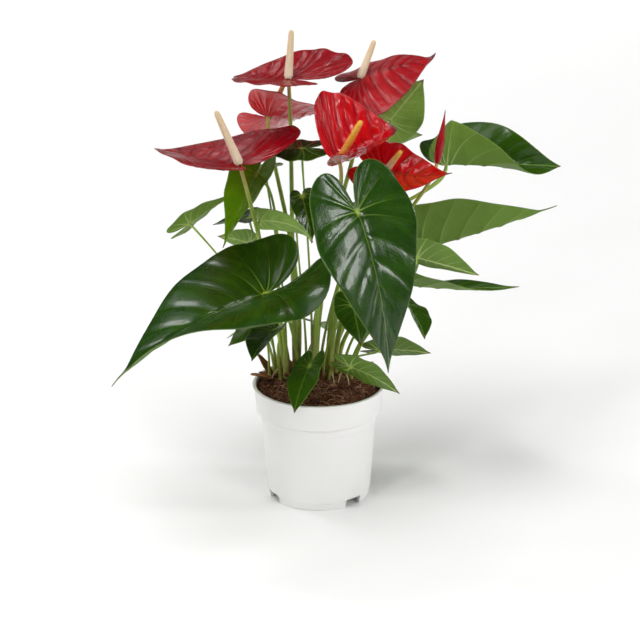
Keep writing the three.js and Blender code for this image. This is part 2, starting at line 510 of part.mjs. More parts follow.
// A young spathe, still rolled round its spadix, with its free edge standing out along one side.
function budGeometry() {
  const curve = new THREE.CatmullRomCurve3([BUD.foot, BUD.top, BUD.tip].map((p) => new THREE.Vector3(...p)));
  const path = curve.getPoints(BUD_PROFILE.length - 1);
  const radii = BUD_PROFILE.map((share) => share * BUD.radius);
  return tube(path, radii, BUD_SIDES, (ring, side) => BUD_EDGE * radii[ring] * side);
}

function budStalkGeometry() {
  const foot = new THREE.Vector3(...BUD.foot);
  const up = new THREE.Vector3(...BUD.top).sub(foot).normalize();
  const path = stemPath(BUD, foot.addScaledVector(up, -FIT_GAP), up, 8);
  return tube(path, taper(path.length, budStem.radius, budStem.top), STALK_SIDES);
}

// A sheath stands in a pocket of its own shape, which is larger by room all round.
function sheathGeometry({ root, yaw, pitch, length, width }, room = 0) {
  const [y, p] = [yaw * DEG, pitch * DEG];
  const ahead = new THREE.Vector3(Math.cos(p) * Math.cos(y), Math.cos(p) * Math.sin(y), Math.sin(p));
  const side = new THREE.Vector3(-Math.sin(y), Math.cos(y), 0);
  const up = new THREE.Vector3().crossVectors(ahead, side);
  const points = [];
  const triangles = [];
  for (let i = 0; i <= SHEATH_STEPS; i += 1) {
    const share = i / SHEATH_STEPS;
    const middle = new THREE.Vector3(...inCrown(root), SHEATH_FOOT_Z).addScaledVector(ahead, share * length)
      .addScaledVector(up, -SHEATH_SAG * share ** 2);
    if (i === 0) middle.addScaledVector(ahead, -2 * room);
    const fullness = 0.45 + 0.75 * Math.sin(Math.PI * (0.15 + 0.8 * share));
    const half = width / 2 * fullness * (1 - share ** 4) + 0.2 + room;
    for (const n of [-1, 0, 1]) {
      points.push(middle.clone().addScaledVector(side, n * half).addScaledVector(up, SHEATH_DISH * n * n));
    }
    if (i === 0) continue;
    for (const n of [0, 1]) {
      const a = 3 * (i - 1) + n;
      triangles.push([a, a + 3, a + 4], [a, a + 4, a + 1]);
    }
  }
  return thicken(points, triangles, BLADE_THICKNESS + 2 * room);
}

// ---- Assembly ------------------------------------------------------------------------------------------
const finish = (color, roughness) => ({ color, roughness, metalness: 0 });
const POT_FINISH = finish('#ececea', 0.45);
const SOIL_FINISH = finish('#3a2a1e', 0.95);
const LEAF_FINISH = finish('#2c4d16', 0.35);
const SPATHE_FINISH = finish('#b3182c', 0.3);
const SPADIX_FINISH = finish('#e2c99b', 0.6);
const STALK_FINISH = finish('#7f9440', 0.5);
const SHEATH_FINISH = finish('#6b4528', 0.85);

const plant = new THREE.Group();
plant.position.set(POT_X, POT_Y, 0);

function add(name, geometry, look) {
  const mesh = new THREE.Mesh(geometry, new THREE.MeshStandardMaterial(look));
  mesh.name = name;
  plant.add(mesh);
}

const leaves = Object.entries(LEAVES);
const blooms = Object.entries(BLOOMS);
const stems = [
  ...leaves.map(([, leaf]) => leafStem(leaf)), ...blooms.map(([, bloom]) => bloomStem(bloom)), budStem,
];

add('pot', potGeometry(), POT_FINISH);
add('soil', soilGeometry(stems), SOIL_FINISH);
leaves.forEach(([name, leaf]) => add(`leaf_${name}`, leafGeometry(leaf), LEAF_FINISH));
blooms.forEach(([name, bloom]) => {
  add(`${name}_spathe`, bladeSolid(bloom, SPATHE_EDGE, SPATHE_GRID), SPATHE_FINISH);
  add(`${name}_spadix`, spadixGeometry(bloom), SPADIX_FINISH);
  add(`${name}_stalk`, peduncleGeometry(bloom), STALK_FINISH);
});
add('bud_spathe', budGeometry(), SPATHE_FINISH);
add('bud_stalk', budStalkGeometry(), STALK_FINISH);
Object.entries(SHEATHS).forEach(([name, sheath]) => add(name, sheathGeometry(sheath), SHEATH_FINISH));

export default plant;
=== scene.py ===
"""A flamingo flower (anthurium) in a plain white nursery pot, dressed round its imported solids.

Every leaf, and the coloured spathe of every bloom, is one heart-shaped blade: a flat outline with curved
side veins, bent, folded along its midrib and set on its stalk. Its mesh lines follow the veins. Sizes in
the tables are in millimetres, from the middle of the pot; meshes are made in metres.
"""
import math

import bpy
import numpy as np
from mathutils import Matrix, Vector


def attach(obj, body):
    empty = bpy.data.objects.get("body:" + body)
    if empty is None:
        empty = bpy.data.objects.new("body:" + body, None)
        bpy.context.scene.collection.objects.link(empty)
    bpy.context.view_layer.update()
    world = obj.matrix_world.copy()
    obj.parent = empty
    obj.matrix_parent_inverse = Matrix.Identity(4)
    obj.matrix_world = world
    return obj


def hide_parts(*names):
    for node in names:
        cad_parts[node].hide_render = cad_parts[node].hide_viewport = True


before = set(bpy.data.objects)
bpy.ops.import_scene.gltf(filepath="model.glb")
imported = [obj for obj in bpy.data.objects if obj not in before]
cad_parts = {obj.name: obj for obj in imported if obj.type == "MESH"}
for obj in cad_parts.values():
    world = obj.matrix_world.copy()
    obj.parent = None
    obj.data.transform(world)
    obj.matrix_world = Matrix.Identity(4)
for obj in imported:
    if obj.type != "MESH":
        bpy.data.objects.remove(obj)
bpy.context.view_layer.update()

MM = 0.001
BODY = "root"

# ---- Driving sizes, in millimetres -----------------------------------------------------------------------
POT_AXIS = np.array([-22.0, 0.0, 0.0])   # where the pot stands in the part's frame
POT_HEIGHT = 106.5
RIM_RADIUS = 60.0
BAND_TOP_RADIUS = 58.4
BAND_FOOT_RADIUS = 57.2
BAND_FOOT_Z = 82.0
BODY_TOP_RADIUS = 52.3
BODY_FOOT_RADIUS = 47.2
FOOT_RADIUS = 45.6
FOOT_HEIGHT = 6.0
FOOT_RING = 3.2                          # width of the ring that the pot stands on
LEDGE_DEPTH = 9.0                        # from the foot of the band down to the body's fine ledge
POT_WALL = 1.2
NOTCH_ANGLES = (-62, 43, 118, 223)       # from the front, to the right
NOTCH_WIDTH = 17.0
NOTCH_HEIGHT = 8.0
CUT_PAST = 2.0                           # how far a notch's tool reaches below the foot
DRAIN_RADIUS = 4.0
DRAIN_CIRCLE = 22.0

SOIL_EDGE_Z = 101.0
SOIL_CROWN = 5.0
SOIL_Z = 107.0                           # up to here every stem is straight
STEM_FOOT_Z = 95.0
SHEATH_FOOT_Z = 100.0

BLADE_THICKNESS = 0.8
SPATHE_THICKNESS = 0.9
VEIN_START = 0.46                        # share of the margin whose veins all leave the hub
VEIN_BOW = 0.07                          # how far a side vein bows to the tip, as a share of its length
BEND_STEPS = 24                          # short straight steps in which a blade is bent
FOLD_SHARE = 0.14                        # share of a half, next to the midrib, over which it folds
MARGIN_WAVES = 2.2                       # from hub to tip
STEM_RISE = 0.45                         # share of its length that a stem climbs before it turns
STEM_NECK = 0.18                         # share of its length over which it meets its blade
SPADIX_SEAT = 0.4                        # above the middle of the spathe's thickness
SPADIX_TIP = 0.9                         # added to its length, for the rounding of its tip
SPADIX_TAPER = 0.4                       # share of its radius that is gone at the tip
FLORET_SIZE = 1.5

# Half outlines, from the notch behind the stalk round to the tip. Along x, -1 is the end of the rear lobe
# and +1 the tip; along y, 1 is half the blade's width. The full one stays broad nearly to the tip.
LEAF_EDGE = np.array([
    (-0.30, 0.05), (-0.74, 0.17), (-0.98, 0.38), (-0.93, 0.63), (-0.58, 0.86), (0.0, 0.985), (0.15, 1.0),
    (0.32, 0.915), (0.49, 0.74), (0.64, 0.53), (0.78, 0.31), (0.89, 0.13), (0.96, 0.04), (1.0, 0.0)])
FULL_EDGE = np.array([
    (-0.40, 0.04), (-0.82, 0.18), (-1.0, 0.41), (-0.95, 0.67), (-0.62, 0.90), (0.0, 1.0), (0.20, 0.99),
    (0.38, 0.945), (0.56, 0.84), (0.72, 0.66), (0.86, 0.41), (0.95, 0.18), (1.0, 0.0)])
SPATHE_EDGE = np.array([
    (-0.40, 0.04), (-0.82, 0.18), (-1.0, 0.41), (-0.95, 0.67), (-0.62, 0.90), (0.0, 1.0), (0.20, 0.975),
    (0.38, 0.87), (0.56, 0.69), (0.72, 0.48), (0.86, 0.25), (0.95, 0.09), (1.0, 0.0)])
# Shares of the margin at which the veins end. The first is the notch's edge and the last the tip.
LEAF_VEINS = (0, 0.09, 0.19, 0.29, 0.39, 0.48, 0.56, 0.64, 0.72, 0.80, 0.88, 1)
SPATHE_VEINS = (0, 0.07, 0.14, 0.21, 0.28, 0.35, 0.42, 0.49, 0.56, 0.64, 0.72, 0.80, 0.88, 1)

# ---- The plant, placed from the middle of the pot --------------------------------------------------------
# The crown stands in the rear half of the pot. The roots below are drawn together around it.
CROWN = {"x": -6, "y": 25, "wide": 0.85, "deep": 0.42}
# root: where the stem leaves the soil. lean: how far its lower part leans, to the right and to the back.
# rise: a share of its length in place of STEM_RISE. hub: where the stalk meets the blade. yaw, pitch and roll
# turn the blade, whose tip points along yaw. length runs hub to tip, lobe from the hub back, width across
# both halves. droop curls the tip down, lift raises the rear lobes, fold and curl raise each half (left,
# right) at the midrib and out to the margin, twist turns the tip, and wave is the margin's ripple.
# thread: how far the last of the tip is drawn out. hook: degrees by which that thread bends down.
# tone: 0 is an old dark leaf, 0.5 a mid-green one and 1 a fresh yellow-green one.
# A row leaves out what it shares with a plain blade.
PLAIN_BLADE = {
    "roll": 0, "lift": 5, "curl": (0, 0), "twist": 0, "wave": 1, "thread": 0, "hook": 0, "relief": 1.0}
LEAVES = {
    "front_left": {
        "root": (-28, -26), "lean": (0, 24), "hub": (-46, -78, 221), "yaw": -155, "pitch": -9, "roll": 2,
        "length": 156, "width": 145, "lobe": 60, "droop": 26, "lift": 50, "fold": (28, 28),
        "curl": (-60, -12), "twist": 25, "wave": 1.5, "tone": 0.0, "thread": 6, "hook": 20},
    "front_centre": {
        "root": (4, -34), "hub": (33, -91, 300), "yaw": -39, "pitch": -64, "roll": -6, "length": 145,
        "width": 111, "lobe": 41, "droop": 22, "lift": 7, "fold": (19, -6), "curl": (9, -15), "twist": -9,
        "wave": 1.5, "tone": 0.0},
    "right_upper": {
        "root": (18, 6), "lean": (-6, 0), "rise": 0.8, "hub": (115, 60, 294), "yaw": 12, "pitch": -2,
        "roll": -8, "length": 108, "width": 96, "lobe": 24, "droop": 5, "lift": 20, "fold": (40, 58),
        "curl": (-30, 30), "twist": 100, "wave": 1.5, "tone": 0.2},
    "right_middle": {
        "root": (28, 26), "lean": (0, 10), "hub": (90, 60, 212), "yaw": 5, "pitch": 14, "roll": -10,
        "length": 129, "width": 90, "lobe": 30, "droop": -6, "fold": (35, 85), "wave": 1.5, "tone": 0.2,
        "thread": 5},
    "right_lower": {
        "root": (32, -22), "lean": (6, -6), "hub": (86, -35, 239), "yaw": 15, "pitch": -19, "roll": -62,
        "length": 62, "width": 42, "lobe": 20, "droop": 5, "fold": (35, 12), "tone": 0.2},
    "right_narrow": {
        "root": (40, -12), "lean": (6, 0), "hub": (75, 12, 196), "yaw": -1, "pitch": -6, "roll": -14,
        "length": 101, "width": 62, "lobe": 36, "droop": -10, "fold": (-1, 29), "curl": (-8, 11),
        "twist": 37, "tone": 0.2, "thread": 5},
    "right_small": {
        "root": (42, -28), "lean": (8, 0), "hub": (76, -44, 199), "yaw": -50, "pitch": -22, "roll": -39,
        "length": 42, "width": 50, "lobe": 15, "droop": 29, "fold": (17, 16), "twist": 16, "tone": 0.15},
    "low_right_front": {
        "root": (18, -44), "hub": (28, -46, 140), "yaw": -6, "pitch": -18, "roll": -39, "length": 51,
        "width": 44, "lobe": 18, "droop": 21, "fold": (1, 7), "curl": (-4, 6), "twist": -18, "tone": 0.12},
    "low_right_back": {
        "root": (36, 22), "hub": (55, 30, 127), "yaw": 5, "pitch": 1, "roll": -36, "length": 48,
        "width": 45, "lobe": 17, "droop": 14, "fold": (7, 11), "curl": (3, 5), "twist": -21, "tone": 0.1},
    "low_front": {
        "root": (-4, -46), "hub": (-8, -40, 138), "yaw": -123, "pitch": -42, "roll": 24, "length": 46,
        "width": 42, "lobe": 16, "droop": 17, "fold": (7, 5), "twist": -22, "tone": 0.3},
    "low_left_small": {
        "root": (-34, -34), "lean": (-6, -8), "hub": (-38, -69, 184), "yaw": -121, "pitch": -7, "roll": 22,
        "length": 48, "width": 47, "lobe": 16, "droop": 23, "lift": -2, "fold": (14, 8), "curl": (9, 7),
        "twist": -4, "tone": 0.15},
    "low_left_back": {
        "root": (-46, -8), "hub": (-54, -22, 172), "yaw": -163, "pitch": -29, "roll": -4, "length": 34,
        "width": 34, "lobe": 12, "droop": 10, "fold": (2, 9), "twist": -7, "wave": 0.5, "tone": 0.45},
    "yellow_green": {
        "root": (-34, 8), "lean": (-4, -4), "hub": (-55, 20, 298), "yaw": -143, "pitch": -56, "roll": 9,
        "length": 73, "width": 65, "lobe": 26, "droop": 4, "fold": (9, 14), "curl": (2, 13), "twist": 19,
        "tone": 1.0},
    "left_away": {
        "root": (-40, 4), "lean": (-10, 4), "hub": (-116, 34, 247), "yaw": 20, "pitch": 32, "roll": -62,
        "length": 52, "width": 34, "lobe": 22, "droop": 8, "fold": (30, 10), "curl": (-11, -13),
        "twist": 23, "tone": 0.3},
    "left_inner": {
        "root": (-40, 20), "hub": (-62, 24, 232), "yaw": 170, "pitch": 15, "roll": 60, "length": 30,
        "width": 30, "lobe": 8, "droop": 15, "fold": (10, 10), "wave": 0.5, "tone": 0.35},
    "dark_inner": {
        "root": (-32, 22), "lean": (6, -10), "hub": (-63, 52, 246), "yaw": 165, "pitch": -8, "length": 36,
        "width": 44, "lobe": 17, "droop": 15, "fold": (8, 8), "tone": 0.15},
    "centre_curved": {
        "root": (-14, -8), "lean": (-4, -4), "hub": (-53, 10, 258), "yaw": -20, "pitch": 8, "roll": -70,
        "length": 74, "width": 25, "lobe": 6, "droop": 58, "fold": (10, 10), "wave": 0.5, "tone": 0.7},
    "behind_left_bloom": {
        "root": (0, 24), "hub": (-15, 8, 326), "yaw": 185, "pitch": -1, "roll": 5, "length": 40,
        "width": 50, "lobe": 22, "droop": 2, "fold": (-15, 5), "tone": 0.1},
    "edge_on": {
        "root": (-28, 14), "lean": (2, 10), "hub": (-48, 50, 295), "yaw": 100, "pitch": -22, "length": 36,
        "width": 34, "lobe": 18, "droop": 10, "fold": (8, 8), "wave": 0.5, "tone": 0.1},
    "rear_right_top": {
        "root": (8, 26), "lean": (10, -6), "hub": (64, 84, 328), "yaw": 0, "pitch": 52, "roll": -75,
        "length": 50, "width": 64, "lobe": 16, "droop": 0, "fold": (10, 20), "tone": 0.75},
    "pale_right": {
        "root": (22, 18), "lean": (16, 10), "rise": 0.7, "hub": (70, 116, 301), "yaw": 10, "pitch": 10,
        "roll": -45, "length": 26, "width": 34, "lobe": 12, "droop": 10, "fold": (8, 8), "wave": 0.5,
        "tone": 0.6},
    "behind_centre": {
        "root": (-6, -6), "hub": (-15, 5, 283), "yaw": -60, "pitch": -60, "length": 44, "width": 30,
        "lobe": 6, "droop": 12, "fold": (12, 12), "tone": 0.1},
    "centre_low": {
        "root": (12, -26), "hub": (30, -26, 191), "yaw": -70, "pitch": -50, "length": 38, "width": 38,
        "lobe": 14, "droop": 12, "fold": (8, 8), "wave": 0.5, "tone": 0.2},
    "back_left": {
        "root": (-26, 34), "hub": (-57, 66, 188), "yaw": 140, "pitch": -22, "roll": 5, "length": 84,
        "width": 66, "lobe": 28, "droop": 30, "lift": 10, "fold": (12, 12), "curl": (-8, -8), "twist": 8,
        "tone": 0.1},
    "back_right": {
        "root": (18, 42), "lean": (12, -4), "hub": (46, 88, 186), "yaw": 62, "pitch": -14, "roll": -6,
        "length": 96, "width": 78, "lobe": 34, "droop": 30, "lift": 10, "fold": (14, 14), "curl": (-8, -8),
        "twist": -8, "wave": 1.5, "tone": 0.1},
    "back_centre": {
        "root": (0, 38), "hub": (14, 74, 248), "yaw": 98, "pitch": -18, "length": 96, "width": 72,
        "lobe": 33, "droop": 35, "lift": 10, "fold": (14, 14), "curl": (-8, -8), "twist": 6, "wave": 1.5,
        "tone": 0.05},
    "back_low_left": {
        "root": (-38, 30), "hub": (-50, 54, 142), "yaw": 150, "pitch": -15, "length": 46, "width": 40,
        "lobe": 16, "droop": 25, "fold": (8, 8), "wave": 0.5, "tone": 0.3},
    "back_low_right": {
        "root": (-6, 48), "hub": (2, 60, 142), "yaw": 75, "pitch": -20, "length": 48, "width": 42,
        "lobe": 17, "droop": 25, "fold": (8, 8), "wave": 0.5, "tone": 0.3},
}
# The same for the spathes, with the spadix that stands on each hub. tone: 0 is crimson, 1 red and 2 pink.
# relief: a share of the usual wrinkles. edge: another outline than SPATHE_EDGE.
BLOOMS = {
    "bloom_top": {
        "root": (-18, 16), "lean": (-4, 10), "hub": (-27, 42, 380), "yaw": 147, "pitch": -3, "roll": -3,
        "length": 57, "width": 122, "lobe": 46, "droop": 8, "fold": (14, 10), "tone": 0.15, "thread": 3,
        "spadix": {"yaw": 75, "pitch": 75, "length": 42, "radius": 3.6}},
    "bloom_left": {
        "root": (-28, 0), "lean": (-14, -14), "hub": (-69, -30, 323), "yaw": 134, "pitch": -4, "roll": -15,
        "length": 106, "width": 140, "lobe": 26, "droop": 4, "lift": 9, "fold": (24, 4), "curl": (13, -3),
        "twist": 15, "tone": 0.1, "thread": 5,
        "spadix": {"yaw": 150, "pitch": 62, "length": 50, "radius": 3.8}},
    "bloom_back": {
        "root": (-16, 30), "lean": (10, 10), "hub": (-46, 102, 326), "yaw": 8, "pitch": -14, "roll": -47,
        "length": 68, "width": 88, "lobe": 26, "droop": -55, "lift": 30, "fold": (6, 13), "curl": (-5, -24),
        "twist": 30, "tone": 2.0, "spadix": {"yaw": 30, "pitch": 60, "length": 38, "radius": 2.8}},
    "bloom_right": {
        "root": (2, 14), "lean": (-2, 4), "hub": (37, 60, 375), "yaw": 2, "pitch": 19, "roll": 2,
        "length": 66, "width": 112, "lobe": 23, "droop": 8, "lift": 3, "fold": (-3, -11),
        "curl": (-12, -19), "twist": 7, "tone": 0.35, "thread": 7, "hook": -50, "relief": 0.6,
        "spadix": {"yaw": 40, "pitch": 62, "length": 35, "radius": 3.4}},
    "bloom_centre": {
        "root": (4, -18), "hub": (18, -18, 323), "yaw": 5, "pitch": 16, "roll": 20, "length": 57,
        "width": 126, "lobe": 12, "droop": -30, "lift": 3, "fold": (45, 46), "wave": 1.6, "tone": 0.85,
        "thread": 2, "relief": 0.9, "edge": FULL_EDGE,
        "spadix": {"yaw": -34, "pitch": 60, "length": 45, "radius": 3.4}},
    "bloom_low": {
        "root": (20, -8), "hub": (59, 4, 306), "yaw": -10, "pitch": -14, "roll": 1, "length": 59,
        "width": 88, "lobe": 30, "droop": -31, "lift": 3, "fold": (15, -8), "curl": (9, -4), "twist": -15,
        "tone": 1.0, "thread": 2, "relief": 0.7,
        "spadix": {"yaw": -10, "pitch": 54, "length": 23, "radius": 2.9}},
}
LEAVES = {name: PLAIN_BLADE | leaf for name, leaf in LEAVES.items()}
BLOOMS = {name: PLAIN_BLADE | bloom for name, bloom in BLOOMS.items()}
# The bud's foot, the middle of its curve and its tip. Its outline: shares of its height, and its radius there
# as a share of the radius in the table.
BUD = {"root": (25, 9), "foot": (105, 20, 308), "top": (109, 21, 333), "tip": (112, 22, 357), "radius": 3.7}
BUD_OUTLINE = ((0, 0.05, 0.2, 0.42, 0.65, 0.85, 1), (0.35, 0.66, 0.88, 0.86, 0.5, 0.2, 0.07))
BUD_WRAP = 0.9                           # share of a full turn, before the step at the free edge
BUD_EDGE = 0.5                           # radians round the bud at which its free edge starts
BUD_TWIST = 1.4                          # radians from foot to tip
BUD_STEP = 0.26                          # how far its free edge stands out, as a share of its radius
SHEATHS = {
    "sheath_left": {"root": (-34, -18), "yaw": 208, "pitch": 31, "length": 34, "width": 7},
    "sheath_upright": {"root": (-44, 12), "yaw": 150, "pitch": 62, "length": 26, "width": 7},
    "sheath_right": {"root": (46, -6), "yaw": 20, "pitch": 52, "length": 24, "width": 7},
}
SHEATH_ROLL = 0.9                        # radians by which each margin is rolled at the foot
SHEATH_DROOP = 5
# Loose brown scraps of old sheaths between the feet of the stems.
SCRAP_WIDTH = 5
SCRAPS = (
    {"root": (-24, -22), "yaw": 250, "pitch": 66, "length": 17},
    {"root": (-12, -34), "yaw": 205, "pitch": 74, "length": 14},
    {"root": (-40, -12), "yaw": 190, "pitch": 48, "length": 18},
    {"root": (10, -30), "yaw": 320, "pitch": 70, "length": 15},
    {"root": (24, -32), "yaw": 10, "pitch": 62, "length": 16},
    {"root": (34, -4), "yaw": 340, "pitch": 68, "length": 18},
    {"root": (-6, 6), "yaw": 100, "pitch": 76, "length": 16},
    {"root": (14, 36), "yaw": 60, "pitch": 60, "length": 17},
    {"root": (-22, 40), "yaw": 120, "pitch": 55, "length": 18},
)
# Pale roots that dip from the stems into the soil. rise: how far each arches up.
ROOTS = (
    {"from": (11, 12, 112), "to": (15, -7, 102), "rise": 2},
    {"from": (24, 12, 111), "to": (28, -5, 102), "rise": 3},
    {"from": (20, 13, 110), "to": (17, -3, 102), "rise": 1},
    {"from": (-20, 12, 111), "to": (-27, -4, 102), "rise": 3},
    {"from": (-6, 8, 110), "to": (-9, -9, 103), "rise": 2},
    {"from": (30, 20, 112), "to": (41, 10, 101), "rise": 3},
    {"from": (-34, 24, 112), "to": (-44, 15, 101), "rise": 2},
    {"from": (-4, 46, 111), "to": (2, 51, 100), "rise": 2},
)


# ---- Rules written as formulas ---------------------------------------------------------------------------
class Field:
    """A number that a node tree works out, so that a rule reads as a formula."""

    def __init__(self, socket):
        self.socket = socket
        self.tree = socket.id_data

    def math(self, operation, *others, swapped=False):
        """One Math node on this number and others."""
        node = self.tree.nodes.new("ShaderNodeMath")
        node.operation = operation
        values = (*others, self) if swapped else (self, *others)
        for value, socket in zip(values, node.inputs):
            feed(value, socket)
        return Field(node.outputs[0])

    def __add__(self, other):
        return self.math("ADD", other)

    def __sub__(self, other):
        return self.math("SUBTRACT", other)

    def __mul__(self, other):
        return self.math("MULTIPLY", other)

    def __truediv__(self, other):
        return self.math("DIVIDE", other)

    def __pow__(self, other):
        return self.math("POWER", other)

    def __rsub__(self, other):
        return self.math("SUBTRACT", other, swapped=True)

    __radd__ = __add__
    __rmul__ = __mul__

    def smooth(self, low, high):
        """Runs softly from 0 at low to 1 at high."""
        node = add(self.tree, "ShaderNodeMapRange", {"Value": self, "From Min": low, "From Max": high},
                   interpolation_type="SMOOTHSTEP")
        return Field(node.outputs["Result"])


def feed(value, socket):
    """Links a socket to what another node gives, or sets it to a plain value."""
    if isinstance(value, Field):
        value = value.socket
    if isinstance(value, bpy.types.NodeSocket):
        socket.id_data.links.new(value, socket)
    else:
        socket.default_value = value


def add(tree, kind, inputs=None, **settings):
    """A new node with its settings made and its inputs fed, by name or by place."""
    node = tree.nodes.new(kind)
    for key, value in settings.items():
        setattr(node, key, value)
    for key, value in (inputs or {}).items():
        feed(value, node.inputs[key])
    return node


def split(tree, vector):
    """The three numbers of a vector."""
    node = add(tree, "ShaderNodeSeparateXYZ", {0: vector})
    return [Field(socket) for socket in node.outputs]


def combine(tree, x, y, z):
    """A vector of three numbers."""
    return add(tree, "ShaderNodeCombineXYZ", {0: x, 1: y, 2: z}).outputs[0]


def scaled(tree, vector, amount):
    """A vector times a number."""
    return add(tree, "ShaderNodeVectorMath", {0: vector, "Scale": amount}, operation="SCALE").outputs[0]


# ---- Geometry Nodes --------------------------------------------------------------------------------------
NUMBER = "NodeSocketFloat"
COUNT = "NodeSocketInt"
FINISH = "NodeSocketMaterial"

MERGE_DISTANCE = 1e-6                    # metres
# A blade's relief. The first four are in metres.
RELIEF_NONE = 0.0012                     # veins nearer to each other than this have no relief between them
RELIEF_FULL = 0.006                      # full height, from the margin in or from vein to vein
GROOVE_GAP = 0.004                       # full depth of a vein's groove, from vein to vein
GROOVE_RIM = 0.003                       # full depth of a vein's groove, from the margin in
PATCHES = 70.0                           # to a metre, for quilting that differs from place to place
UNEVENNESS = 1.6
PILLOW_POWER = 0.7                       # under 1, so that the quilting is flat on top and steep at the veins
BULGE_POWER = 0.6
ROW_STEP = 12.9898                       # with ROW_SHIFT, starts the cells of each row at another place
ROW_SHIFT = 3.7
FOLD_STEP = 2.3                          # how fast the wrinkles change from one vein to the next
# Shares of a stem's length at which its knee begins, is full and fades again, and the flare of its foot ends.
KNEE_START, KNEE_FULL, KNEE_FADE, FLARE_END = 0.86, 0.93, 0.96, 0.3
# A spadix, in shares of its own length, radius or florets: where its tip begins to round, its neck, and the
# packing and shape of its florets, which turn upwards near the tip.
TIP_START, NECK_WIDTH, NECK_HEIGHT = 0.9, 0.72, 0.06
FLORET_PACKING, FLORET_SUNK, FLORET_SHRINK = 0.86, 0.16, 0.8
FLORET_WIDE, FLORET_TALL = 1.12, 0.72
FLORET_TILT_START, FLORET_TILT = 0.86, 1.3
GOLDEN_ANGLE = math.pi * (3.0 - math.sqrt(5.0))
# The soil's crumbs and fibres, from the least to the most: shades, and sizes along three axes.
STREWN_DENSITY = 4e6                     # more to a square metre than their spacing lets through
CRUMB_SHADES = (0.0, 0.72)
CRUMB_SIZES = ((0.35, 0.35, 0.3), (1.5, 1.0, 0.8))
FIBRE_SHADES = (0.45, 1.0)
FIBRE_SIZES = ((0.4, 0.3, 0.5), (1.5, 1.6, 1.3))
ANY_TURN = ((0, 0, 0), (math.tau, math.tau, math.tau))
LYING_TURN = ((-0.5, -0.5, 0), (0.5, 0.5, math.tau))


def new_tree(name, inputs):
    """A tree that takes a geometry and the named inputs, and gives a geometry."""
    tree = bpy.data.node_groups.new(name, "GeometryNodeTree")
    tree.is_modifier = True
    tree.interface.new_socket("Geometry", in_out="INPUT", socket_type="NodeSocketGeometry")
    for label, kind in inputs.items():
        tree.interface.new_socket(label, in_out="INPUT", socket_type=kind)
    tree.interface.new_socket("Geometry", in_out="OUTPUT", socket_type="NodeSocketGeometry")
    return tree, tree.nodes.new("NodeGroupInput").outputs


def close_tree(tree, geometry, finish):
    """Ends a tree: real geometry, smooth, in one finish."""
    smooth = add(tree, "GeometryNodeSetShadeSmooth", {"Geometry": geometry})
    real = add(tree, "GeometryNodeRealizeInstances", {"Geometry": smooth.outputs[0]})
    done = add(tree, "GeometryNodeSetMaterial", {"Geometry": real.outputs[0], "Material": finish})
    add(tree, "NodeGroupOutput", {0: done.outputs[0]})


def named(tree, name, kind="FLOAT_VECTOR"):
    """Reads an attribute that the mesh carries."""
    node = add(tree, "GeometryNodeInputNamedAttribute", {"Name": name}, data_type=kind)
    return node.outputs["Attribute"]


def stored(tree, geometry, name, value):
    """Writes a number to the points of a geometry under a name, for its material to read."""
    node = add(tree, "GeometryNodeStoreNamedAttribute", {"Geometry": geometry, "Name": name, "Value": value},
               data_type="FLOAT", domain="POINT")
    return node.outputs[0]


def turned(tree, vector):
    """The rotation that turns +Z along a vector."""
    return add(tree, "FunctionNodeAlignRotationToVector", {"Vector": vector}, axis="Z").outputs[0]


